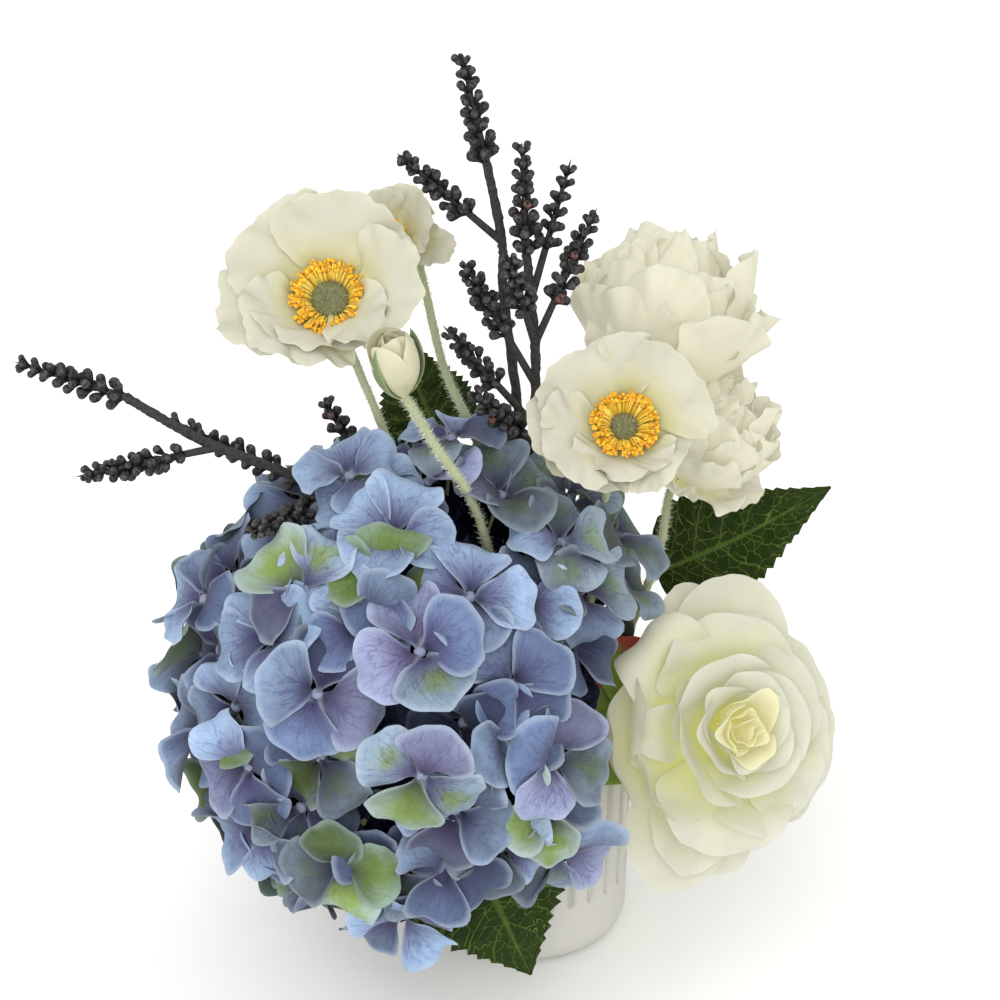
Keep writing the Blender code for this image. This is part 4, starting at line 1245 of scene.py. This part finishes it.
for number, (name, (size, first_turn, skirts)) in enumerate(RUFFLED.items()):
    piece = Piece(name + "_petals", 220 + number)
    draws = piece.draws
    axes, seat = bloom_seat(name, *SEATS[name])
    skirt = whorl(7, first_turn + 20, draws, 44 * size, 24 * size, 2, 40, 0.45, -34, 3, -2)
    rows = np.vstack([skirt] * skirts + [
        whorl(7, first_turn, draws, 56 * size, 24 * size, 4, 84, 0.65, -6, 3, -1),
        whorl(8, first_turn + 28, draws, 62 * size, 22 * size, 8, 102, 0.70, -6, 3, 0),
        whorl(8, first_turn + 11, draws, 67 * size, 21 * size, 14, 114, 0.75, -10, 3, 1),
        whorl(8, first_turn + 40, draws, 70 * size, 19 * size, 22, 118, 0.80, -12, 2, 1),
        whorl(7, first_turn + 23, draws, 67 * size, 17 * size, 32, 112, 0.85, -14, 2, 1),
        whorl(6, first_turn + 60, draws, 62 * size, 15 * size, 45, 96, 0.90, -14, 1.5, 1),
        whorl(4, first_turn + 5, draws, 60 * size, 12 * size, 60, 80, 1.00, -14, 1, 1),
    ])
    piece.add(bloom_weave, bloom_petals(rows, draws, axes, seat, claw=0.25, neck=0.5, ragged=0.024,
                                        ripple=0.0034 * size, waves=5, crease=0.0005 * size, creases=6,
                                        notch=0.05))
    piece.build([ruffled_cream], [name])
    print(name, triangle_count[piece.name], "triangles")

# %% [markdown]
# ## The rose
# A rose is the hardest bloom, because its petals wrap round each other. The heart is a few tight,
# upright petals that overlap in a spiral; round them come steeper cups whose lips fold outwards, and
# last the big outer petals, some rolled right over. The lips are what makes it read as a rose.

# %% Rose
# turn, length, half width, pitch, bend, cup, lip, start, lift
ROSE_PETALS = [
    (237, 57, 22, 4, 2, 0.30, -14, 4, -6.5), (263, 48, 15, 2, 2, 0.25, -14, 4, -6.0),
    (94, 51, 18, 8, 2, 0.25, -12, 4, -6.0), (74, 53, 24, 10, 4, 0.30, -14, 4, -5.0),
    (242, 50, 18, 8, 4, 0.35, -10, 4, -5.0), (331, 43, 27, 4, 8, 0.25, -30, 4, -5.0),
    (16, 42, 25, 8, 8, 0.25, -30, 4, -4.0), (47, 42, 24, 10, 10, 0.30, -34, 4, -3.5),
    (178, 55, 24, 2, 30, 0.45, 62, 4, -4.5), (160, 52, 20, 10, 34, 0.40, 70, 4, -3.5),
    (128, 60, 20, 20, 34, 0.30, -170, 4, -3.0),
    (205, 47, 20, 10, 30, 0.40, 50, 4, -3.0), (172, 38, 11, 22, 20, 0.30, -110, 4, -1.0),
    (253, 44, 27, 18, 18, 0.40, -60, 4, -2.0), (298, 39, 25, 18, 18, 0.40, -50, 4, -1.5),
    (332, 37, 25, 18, 18, 0.40, -46, 4, -1.0), (88, 42, 28, 24, 20, 0.45, -54, 4, -1.5),
    (30, 36, 24, 24, 20, 0.45, -46, 4, -1.0), (194, 38, 27, 38, 34, 0.60, -20, 3, 0.0),
    (110, 35, 24, 44, 20, 0.60, -46, 3, 0.5), (294, 33, 21, 50, 14, 0.60, -44, 3, 0.5),
    (2, 33, 22, 46, 14, 0.60, -44, 3, 0.5), (193, 34, 19, 58, 18, 0.80, -24, 2.5, 1.5),
    (60, 32, 18, 56, 14, 0.80, -40, 2.5, 1.5), (320, 31, 17, 60, 12, 0.85, -36, 2.5, 1.5),
]
ROSE_SEPALS = [(153, 61, 7, 0, 2, 0.20, -10, 3, -9.0), (135, 49, 15, -2, 4, 0.30, -8, 3, -8.0),
               (189, 47, 8, -2, 4, 0.20, -10, 3, -8.5), (60, 40, 8, -6, 4, 0.2, -10, 3, -8.5),
               (300, 40, 8, -6, 4, 0.2, -10, 3, -8.5)]
HEART_PETALS = 9                  # the last of the rows, in the heart's own finish

red_sepal = Paint("red_edged_sepal", Roughness=0.6)
x, _ = red_sepal.spot()
cloud = red_sepal.noise(red_sepal.place(), 260.0, 3.0)
green = red_sepal.mix(cloud, (0.10, 0.19, 0.020), (0.30, 0.42, 0.07))
red_sepal.feed("Base Color", red_sepal.mix(red_sepal.step(x + (cloud - 0.5) * 0.8, 0.05, 0.45), green,
                                           (0.36, 0.035, 0.015)))
red_sepal.bump(cloud, 0.0005, 0.6)

rose = Piece("rose_petals", 240)
axes, seat = bloom_seat("rose", *SEATS["rose"])
rows = np.vstack([
    ROSE_PETALS,
    whorl(3, 132, rose.draws, 32.5, 15.5, 64, 16, 1.10, -32, 2.3, 2.0),
    whorl(3, 170, rose.draws, 32, 13, 70, 16, 1.35, -26, 2.0, 2.5),
    whorl(3, 215, rose.draws, 30.5, 10.5, 77, 12, 1.75, -16, 1.5, 3.2),
    whorl(3, 150, rose.draws, 29.5, 7.5, 85, 6, 2.30, -10, 0.8, 3.6),
])
heart = (np.arange(len(rows)) >= len(rows) - HEART_PETALS).astype(int)
rose.add(bloom_weave, bloom_petals(rows, rose.draws, axes, seat, thickness=0.0005, claw=0.38, neck=0.55,
                                   ragged=0.014, ripple=0.0016, waves=3, crease=0.00045, creases=5,
                                   point=0.02, lip_start=0.62), heart)
rose.add(bloom_weave, bloom_petals(ROSE_SEPALS, rose.draws, axes, seat, thickness=0.0006, claw=0.8,
                                   point=0.08, ragged=0.01), 2)
rose.build([rose_cream, rose_heart, red_sepal.material], ["rose"])
print("rose:", len(rows), "petals,", triangle_count["rose_petals"], "triangles")

# %% [markdown]
# ## Stems
# The flower stems are wrapped in pale green flock, with short hairs all the way up. The hairs are
# small, so that a stem only looks soft: some thousands of three-sided tubes, set out along the stem's
# own curve and leaning towards its tip. The head's stem and the spray stems have other finishes.

# %% Stems
ROOT = POT_HEIGHT - 0.0057        # where every stem leaves the filling
FLOWER_WAYS = {
    "poppy_left": [(-0.014, -0.004, ROOT), (-0.036, -0.006, 0.150), (-0.047, -0.004, 0.195)],
    "poppy_small": [(-0.004, 0.010, ROOT), (-0.009, 0.007, 0.150), (-0.0175, 0.010, 0.194),
                    (-0.0300, 0.018, 0.222)],
    "poppy_right": [(0.012, -0.010, ROOT), (0.022, -0.014, 0.140), (0.027, -0.010, 0.182)],
    "ruffled_top": [(0.010, 0.012, ROOT), (0.026, 0.024, 0.150), (0.038, 0.032, 0.185)],
    "ruffled_right": [(0.021, 0.001, ROOT), (0.036, 0.005, 0.118), (0.048, 0.012, 0.150)],
    "rose": [(0.023, -0.011, ROOT), (0.034, -0.012, 0.096)],
}
BUD_FOOT = np.array([-0.0425, -0.046, 0.2412])
BUD_TIP = np.array([-0.0461, -0.050, 0.2650])
BUD_WAY = [(0.000, -0.014, ROOT), (-0.006, -0.030, 0.130), (-0.0170, -0.042, 0.192),
           (-0.0320, -0.045, 0.2215)]
LEAD = 0.012                      # straight end of a stem behind its bloom
PUSHED_IN = 0.001                 # how far it goes into the bloom
STEM_HALF = 0.0017
ROSE_STEM_HALF = 0.0023
STEM_RINGS = 60
STEM_SIDES = 10
STEM_TAPER = 0.8
STEM_UNEVEN = 0.07
HAIRS_PER_METRE = 11000
HAIR_LENGTH = 0.0013
HAIR_HALF = 0.000085

flock = Paint("pale_flock", Roughness=0.85, Sheen_Weight=0.4, Sheen_Roughness=0.4)
here = flock.place()
fibre = flock.noise(here, 700.0, 3.0)
tone = flock.mix(flock.noise(here, 60.0), (0.38, 0.42, 0.245), (0.50, 0.525, 0.35))
flock.feed("Base Color", flock.mix(fibre * 0.5, tone, (0.26, 0.31, 0.15)))
flock.bump(fibre, 0.0006, 0.8)
flock_hair = dealt("flock_hair", (0.50, 0.54, 0.38), (0.76, 0.77, 0.64), Roughness=0.8)
smooth_green = Paint("smooth_green_stem", Roughness=0.55)
here = smooth_green.place()
tone = smooth_green.mix(smooth_green.noise(here, 90.0), (0.085, 0.14, 0.035), (0.20, 0.27, 0.09))
smooth_green.feed("Base Color", tone)
smooth_green.bump(smooth_green.noise(here, 500.0, 2.0), 0.0004, 0.5)


def stem_piece(name, way, half, node, seed, hairs=HAIRS_PER_METRE):
    """A stem from the filling to its bloom, a little uneven, with its hairs."""
    piece = Piece(name, seed)
    draws = piece.draws
    path = smooth_path(way, STEM_RINGS)
    relief = STEM_UNEVEN * draws.normal(0, 1, (1, STEM_RINGS, STEM_SIDES))
    girth = np.linspace(half, STEM_TAPER * half, STEM_RINGS)
    add_tubes(piece, path[None], girth, STEM_SIDES, relief=relief)
    if hairs:
        length = np.sum(np.linalg.norm(np.diff(path, axis=0), axis=1))
        count = int(hairs * length)
        share = draws.random(count)
        here = along(path, share)
        ahead = unit(along(path, np.minimum(share + 0.02, 1)) - along(path, np.maximum(share - 0.02, 0)))
        out = unit(np.cross(ahead, draws.normal(0, 1, (count, 3))))
        roots = here + out * STEM_TAPER * half
        points = hair_points(draws, roots, unit(out + 0.5 * ahead), HAIR_LENGTH, HAIR_HALF)
        piece.add(hair_weave, points, 1)
        piece.build([flock.material, flock_hair.material], [node])
    else:
        piece.build([smooth_green.material], [node])
    return path


for number, (name, way) in enumerate(FLOWER_WAYS.items()):
    axes, seat = bloom_seat(name, *SEATS[name])
    facing = axes[0, :, 2]
    points = way + [tuple(seat - LEAD * facing), tuple(seat + PUSHED_IN * facing)]
    smooth = name == "rose"
    stem_piece(name + "_flocked_stem", points, ROSE_STEM_HALF if smooth else STEM_HALF, name + "_stem",
               260 + number, hairs=0 if smooth else HAIRS_PER_METRE)
stem_piece("bud_flocked_stem", BUD_WAY + [tuple(BUD_FOOT)], STEM_HALF, "bud_stem", 270)
print("stems:", sum(count for name, count in triangle_count.items() if "stem" in name), "triangles")

HEAD_STALKS = {"front": "head_upper_front", "left": "head_upper_left", "back": "head_upper_back",
               "low_front": "head_front", "low_left": "head_left"}
HEAD_STEM_RINGS = 24
HEAD_STEM_UNEVEN = 0.05
HEAD_STALK_REACH = 0.073          # from the head's middle
HEAD_STALK_RINGS = 12
HEAD_STALK_SIDES = 8
head_stem = Piece("head_main_stem", 275)
way = smooth_path([(-0.015, -0.009, ROOT), (-0.028, -0.016, 0.098), tuple(KNUCKLE)], HEAD_STEM_RINGS)
relief = HEAD_STEM_UNEVEN * head_stem.draws.normal(0, 1, (1, HEAD_STEM_RINGS, STEM_SIDES))
girth = np.linspace(0.0036, 0.0031, HEAD_STEM_RINGS)
add_tubes(head_stem, way[None], girth, STEM_SIDES, relief=relief)
ends = HEAD_CENTRE + HEAD_STALK_REACH * directions([HEAD_SEEDS[mass] for mass in HEAD_STALKS.values()])
stalks = np.linspace(np.repeat(KNUCKLE[None], len(ends), 0), ends, HEAD_STALK_RINGS, axis=1)
add_tubes(head_stem, stalks, np.linspace(0.0017, 0.0012, HEAD_STALK_RINGS), HEAD_STALK_SIDES)
carried = ["head_stem"] + ["head_stalk_" + name for name in HEAD_STALKS]
head_stem.build([stalk_green.material], carried)

# %% [markdown]
# ## The bud
# A bud is the poppy's petals before they open: each one stands almost upright and wraps round its
# neighbours. Three hairy green sepals still hold its foot.

# %% Bud
sepal_green = Paint("sepal_green", Roughness=0.75, Sheen_Weight=0.2)
x, y = sepal_green.spot()
cloud = sepal_green.noise(sepal_green.place(), 300.0, 3.0)
tone = sepal_green.mix(cloud, (0.07, 0.115, 0.03), (0.19, 0.25, 0.08))
rim = sepal_green.step((x * x + y * y) ** 0.5, 0.75, 1.0)
sepal_green.feed("Base Color", sepal_green.mix(rim * 0.5, tone, (0.30, 0.36, 0.16)))
sepal_green.bump(cloud, 0.0007, 0.8)

bud = Piece("bud_petals", 280)
axes = frames(BUD_TIP - BUD_FOOT)
rows = np.vstack([
    whorl(3, 40, bud.draws, 27, 12.0, 40, 74, 1.45, 0, 0.9, 0.0),
    whorl(3, 95, bud.draws, 26, 10.5, 50, 70, 1.50, 0, 0.7, 0.3),
    whorl(3, 10, bud.draws, 24, 7.0, 68, 36, 1.35, 0, 0.4, 0.6),
])
bud.add(bloom_weave, bloom_petals(rows, bud.draws, axes, BUD_FOOT, claw=0.45, neck=0.5, ragged=0.012,
                                  ripple=0.0005, waves=3, crease=0.0002, creases=7))
SEPALS = [(80, 25, 4.6, 32, 80, 0.60, -8, 1.2, -0.8), (258, 24, 3.2, 34, 76, 0.45, 0, 1.2, -0.8),
          (165, 24, 4.2, 32, 80, 0.55, 0, 1.2, -0.8)]
bud.add(bloom_weave, bloom_petals(SEPALS, bud.draws, axes, BUD_FOOT, thickness=0.0008, claw=0.6,
                                  point=0.10), 1)
bud.build([bud_cream, sepal_green.material], ["bud"])

# %% [markdown]
# ## Leaves
# The leaves are stamped cloth, dark green, toothed, with a raised net of pale veins. The blade is a
# grid whose half width is a swelling curve times a saw-tooth; midrib, side veins and net are printed
# in the finish from the leaf's own coordinates, and the same lines press the blade up as relief.

# %% Leaves
LEAVES = {
    "leaf_right": ([(0.022, 0.016, ROOT), (0.034, 0.024, 0.109), (0.048, 0.030, 0.132)],
                   (0.1106, 0.022, 0.1720), 0.043, (-0.30, -0.80, 0.52), -0.002),
    "leaf_upper": ([(-0.006, 0.022, ROOT), (-0.022, 0.038, 0.140), (-0.032, 0.051, 0.176)],
                   (-0.048, 0.062, 0.214), 0.036, (0.10, -0.95, 0.30), 0.0),
    "leaf_front": ([(-0.004, -0.024, ROOT), (-0.008, -0.034, 0.0925), (-0.018, -0.046, 0.087),
                    (-0.0240, -0.054, 0.073)], (0.0013, -0.070, 0.0214), 0.066, (0.0, -0.95, 0.25), 0.0),
    "leaf_back": ([(0.004, 0.024, ROOT), (0.006, 0.034, 0.094), (0.010, 0.050, 0.102), (0.014, 0.064, 0.108)],
                  (0.030, 0.118, 0.112), 0.044, (0.05, 0.25, 0.95), 0.008),
    "leaf_back_left": ([(-0.014, 0.022, ROOT), (-0.023, 0.033, 0.094), (-0.034, 0.048, 0.090),
                        (-0.044, 0.066, 0.082)], (-0.066, 0.110, 0.060), 0.042, (-0.15, 0.45, 0.88), 0.008),
}
LEAF_TEETH = 17
LEAF_ROWS = LEAF_TEETH * 5 + 1
LEAF_COLUMNS = 17
SIDE_VEINS = 7
LEAF_FOLD = 0.16
LEAF_THICKNESS = 0.0006
LEAF_STALK_RINGS = 20
LEAF_STALK_SIDES = 8

leaf_green = Paint("leaf_green", Roughness=0.58, Specular_IOR_Level=0.12)
x, y = leaf_green.spot()
first, second, far = leaf_green.lot()
drift = leaf_green.noise(leaf_green.joined(x * 2.0, y * 3.0 + first * 9), 1.0, 2.0) - 0.5
aside = abs(x)
midrib = 1 - leaf_green.step(aside, 0.015, 0.07)
ladder = leaf_green.math("FRACT", (y * 0.5 + 0.5) * SIDE_VEINS - aside * 1.5 + drift * 0.35)
ribs = 1 - leaf_green.step(abs(ladder - 0.5), 0.012, 0.05)
cells = leaf_green.joined(x * 4.2 + drift * 2 + first * 9, y * 9.0 + drift * 2)
net = leaf_green.node("ShaderNodeTexVoronoi", {"feature": "DISTANCE_TO_EDGE", "voronoi_dimensions": "2D"},
                      {"Vector": cells, "Scale": 1.0})
mesh_lines = 1 - leaf_green.step(net, 0.01, 0.06)
lines = leaf_green.math("MAXIMUM", midrib * 0.45, leaf_green.math("MAXIMUM", ribs * 0.5, mesh_lines * 0.8))
cloud = leaf_green.noise(leaf_green.joined(x * 3, y * 5 + second * 9), 1.0, 3.0)
blade = leaf_green.mix(cloud, (0.006, 0.016, 0.002), (0.034, 0.060, 0.008))
colour = leaf_green.mix(lines * (0.36 + 0.62 * cloud), blade, (0.21, 0.31, 0.06))
colour = leaf_green.mix(far * 0.6, colour, (0.11, 0.16, 0.06))
leaf_green.feed("Base Color", colour)
leaf_green.bump(lines + 0.3 * cloud, 0.0009, 0.8)
leaf_green.let_light_through(colour, 0.12)


def leaf_blade(base, tip, width, up, arch):
    """A leaf's sheet. Along it, points run from base to tip and arch by a half sine. Across, the half
    width is sin(π s^0.56), saw-toothed; the halves fold up from the midrib, and each side vein
    lifts the blade between its neighbours."""
    s = np.linspace(0, 1, LEAF_ROWS)[:, None]
    t = np.linspace(-1, 1, LEAF_COLUMNS)
    line = base + s * (tip - base)
    line[:, 2] += arch * np.sin(math.pi * s[:, 0])
    forward = unit(np.gradient(line, axis=0))
    flat = unit(np.cross(forward, up))
    over = unit(np.cross(flat, forward))
    saw = np.mod(s * LEAF_TEETH, 1.0)
    swell = np.sin(math.pi * np.clip(s, 0, 1) ** 0.56) ** 1.05
    half = 0.5 * width * swell * (0.94 + 0.12 * (1 - saw) * (s < 0.97)) + 0.0005
    quilt = 0.0006 * np.sin(2 * math.pi * (s * SIDE_VEINS - 1.5 * np.abs(t))) * np.sin(math.pi * np.abs(t))
    rise = half * (LEAF_FOLD * np.abs(t) + 0.03 * np.sin(9 * s + 2 * t)) + quilt * swell
    sweep = -0.10 * half * np.abs(t) * saw
    points = line[:, None, :] + (half * t)[..., None] * flat[:, None, :] + rise[..., None] * over[:, None, :]
    return points + sweep[..., None] * forward[:, None, :]


leaf_weave = shell_weave(LEAF_ROWS, LEAF_COLUMNS)
for number, (name, (way, tip, width, up, arch)) in enumerate(LEAVES.items()):
    piece = Piece(name + "_blade", 300 + number)
    base = np.array(way[-1])
    sheet = leaf_blade(base, np.array(tip), width, np.array(up), arch)
    piece.add(leaf_weave, shells(sheet[None], LEAF_THICKNESS))
    stalk = smooth_path(way + [tuple(base + 0.1 * (np.array(tip) - base))], LEAF_STALK_RINGS)
    add_tubes(piece, stalk[None], np.linspace(0.0010, 0.0007, LEAF_STALK_RINGS), LEAF_STALK_SIDES, 1)
    piece.build([leaf_green.material, smooth_green.material], [name])
print("leaves:", len(LEAVES), "of", triangle_count["leaf_right_blade"], "triangles")

# %% [markdown]
# ## Berry sprays
# The dark sprays are foam berries on wire: each berry is a drop that swells out of its own short
# stalk, with a small dent at its end. They stand in rings that shrink towards a needle-fine tip. The
# stems are rough, and here and there the black has rubbed off a berry and shows it reddish.

# %% Berry sprays
SPRAYS = {
    "spray_tall": ([(-0.008, 0.004, ROOT), (-0.004, 0.010, 0.150), (-0.003, 0.013, 0.200),
                    (-0.0085, 0.014, 0.2503), (-0.0092, 0.014, 0.2721), (-0.0144, 0.014, 0.3013)],
                   {"tip": (1.0, (-0.0232, 0.014, 0.3420), 0.0075, 0.0),
                    "side": (0.80, (-0.0453, 0.006, 0.3085), 0.0072, 0.30)}),
    "spray_middle": ([(0.003, 0.000, ROOT), (0.003, 0.001, 0.150), (0.002, 0.002, 0.190),
                      (0.0028, 0.003, 0.229), (0.001, 0.003, 0.255), (-0.0012, 0.003, 0.2778)],
                     {"tip": (0.94, (-0.0024, 0.003, 0.3138), 0.0072, 0.0),
                      "right_high": (0.80, (0.0148, 0.016, 0.3025), 0.0062, 0.34),
                      "right": (0.66, (0.0235, 0.000, 0.2907), 0.0072, 0.30),
                      "left": (0.56, (-0.0230, -0.010, 0.2758), 0.0070, 0.40),
                      "left_low": (0.48, (-0.0297, -0.008, 0.2499), 0.0062, 0.40),
                      "low": (0.44, (-0.0195, -0.023, 0.2320), 0.0080, 0.20),
                      "near": (0.66, (-0.0075, -0.024, 0.2841), 0.0072, 0.36)}),
    "spray_left": ([(-0.020, 0.002, ROOT), (-0.048, -0.004, 0.150), (-0.074, -0.016, 0.190),
                    (-0.112, -0.030, 0.2157), (-0.1383, -0.035, 0.2353)],
                   {"tip": (1.0, (-0.1745, -0.040, 0.2508), 0.0075, 0.0),
                    "front": (0.72, (-0.1538, -0.058, 0.2162), 0.0070, 0.22),
                    "back": (0.50, (-0.1285, -0.010, 0.2160), 0.0066, 0.10),
                    "low": (0.46, (-0.0948, -0.066, 0.1989), 0.0075, 0.16)}),
    "spray_back": ([(-0.014, 0.014, ROOT), (-0.044, 0.028, 0.150), (-0.0630, 0.036, 0.176)],
                   {"tip": (1.0, (-0.0733, 0.038, 0.1990), 0.0072, 0.0)}),
}
SPRAY_HALF = 0.0019
SPRAY_TIP_HALF = 0.0016
BERRY_LENGTH = 0.0064             # of the largest, stalk and all
BERRY_HALF = 0.00178
BERRY_PROFILE = [(0.04, 0.34), (0.30, 0.42), (0.54, 0.80), (0.72, 1.0), (0.88, 0.84), (0.97, 0.42)]
BERRY_SIDES = 7
RING_STEP = 0.0047                # between rings of berries
RING_BERRIES = 5
RING_TURN = 45                    # degrees from one ring to the next
SPRAY_RINGS = 90
SPRAY_SIDES = 9
SPRAY_UNEVEN = 0.11
FULL_SPIKE = 0.0075               # half width of a spike whose berries are full size
AXIS_RINGS = 14
AXIS_SIDES = 7

berry_black = Paint("berry_black", Roughness=0.6, Specular_IOR_Level=0.3)
first, _, _ = berry_black.lot()
_, y = berry_black.spot()
grain = berry_black.noise(berry_black.place(), 700.0, 3.0)
tone = berry_black.mix(berry_black.step(grain, 0.30, 0.72), (0.005, 0.0045, 0.005), (0.078, 0.074, 0.075))
# Painted shade: each berry is darker towards its neck on the stem and lighter towards its free end.
tone = berry_black.bright(tone, 0.22 + 1.0 * berry_black.step(y, -0.7, 0.75))
rubbed = berry_black.step(first, 0.972, 0.980) * berry_black.step(grain, 0.40, 0.60)
berry_black.feed("Base Color", berry_black.mix(rubbed * 0.8, tone, (0.26, 0.085, 0.070)))
berry_black.bump(grain, 0.0014, 1.0)
rough_stem = grained("rough_dark_stem", (0.010, 0.0095, 0.010), (0.078, 0.074, 0.073), 620.0, 4.0,
                     relief=0.0014, Roughness=0.85, Specular_IOR_Level=0.3)

berry_shape = turned_shape(np.array(BERRY_PROFILE) * [BERRY_LENGTH, BERRY_HALF], BERRY_SIDES, 0.0,
                           0.985 * BERRY_LENGTH)
berry_weave = tube_weave(len(BERRY_PROFILE), BERRY_SIDES)


def spike_berries(draws, foot, tip, half, bare):
    """Berries in rings along a spike's axis. Up the spike they shrink by the share to the power 1.5
    and lean forward more and more; every ring is turned a little from the last."""
    length = np.linalg.norm(tip - foot)
    rings = max(int(length * (0.95 - bare) / RING_STEP), 4)
    share = bare + 0.02 + (0.86 - bare) * np.linspace(0, 1, rings) ** 0.92
    share = np.repeat(share, RING_BERRIES) + draws.normal(0, 0.010, rings * RING_BERRIES)
    up = (share - bare) / (1 - bare)
    turn = np.arange(rings * RING_BERRIES) * (360 / RING_BERRIES)
    turn = turn + RING_TURN * np.repeat(np.arange(rings), RING_BERRIES)
    turn = np.radians(turn + draws.normal(0, 9, len(turn)))
    axis = frames((tip - foot)[None], level=(0.2, 0.1, 1.0))[0]
    out = np.cos(turn)[:, None] * axis[:, 0] + np.sin(turn)[:, None] * axis[:, 1]
    lean = (1.00 + 0.8 * up ** 2)[:, None]
    size = (half / FULL_SPIKE) ** 0.7 * (1.10 - 0.46 * up ** 1.5) * draws.normal(1, 0.08, len(up))
    points = berry_shape[None] * size[:, None, None]
    roots = foot + share[:, None] * (tip - foot) + out * 0.0004
    return laid(points, frames(out + lean * axis[:, 2], level=(0.3, 0.5, 0.8)), roots)


def add_axis(spike, foot, tip, bare):
    """The spike's wire: as thick as its stalk until the berries start, then down to a needle."""
    share = np.linspace(0, 1, AXIS_RINGS)
    girth = np.interp(share, [0, bare + 0.02, 0.90, 1.0], [0.0015, 0.0013, 0.00070, 0.00010])
    add_tubes(spike, (foot + share[:, None] * (tip - foot))[None], girth, AXIS_SIDES, 1)


for number, (name, (way, spikes)) in enumerate(SPRAYS.items()):
    path = smooth_path(way, SPRAY_RINGS)
    stem = Piece(name + "_rough_stem", 320 + number)
    relief = SPRAY_UNEVEN * stem.draws.normal(0, 1, (1, SPRAY_RINGS, SPRAY_SIDES))
    girth = np.linspace(SPRAY_HALF, SPRAY_TIP_HALF, SPRAY_RINGS)
    add_tubes(stem, path[None], girth, SPRAY_SIDES, relief=relief)
    stem.build([rough_stem.material], [name + "_stem"])
    for order, (place, (share, tip, half, bare)) in enumerate(spikes.items()):
        spike = Piece(name + "_berries_" + place, 340 + 10 * number + order)
        foot = along(path, share)[0]
        tip = np.array(tip)
        spike.add(berry_weave, spike_berries(spike.draws, foot, tip, half, bare))
        add_axis(spike, foot, tip, bare)
        shown_by = [] if place == "near" else [name + "_" + place]
        spike.build([berry_black.material, rough_stem.material], shown_by)
print("berries:", sum(count for name, count in triangle_count.items() if "berries" in name), "triangles")

# %% [markdown]
# ## Finish
# The triangles of all the pieces are counted and printed.

# %% Finish
print("triangles in all:", sum(triangle_count.values()))
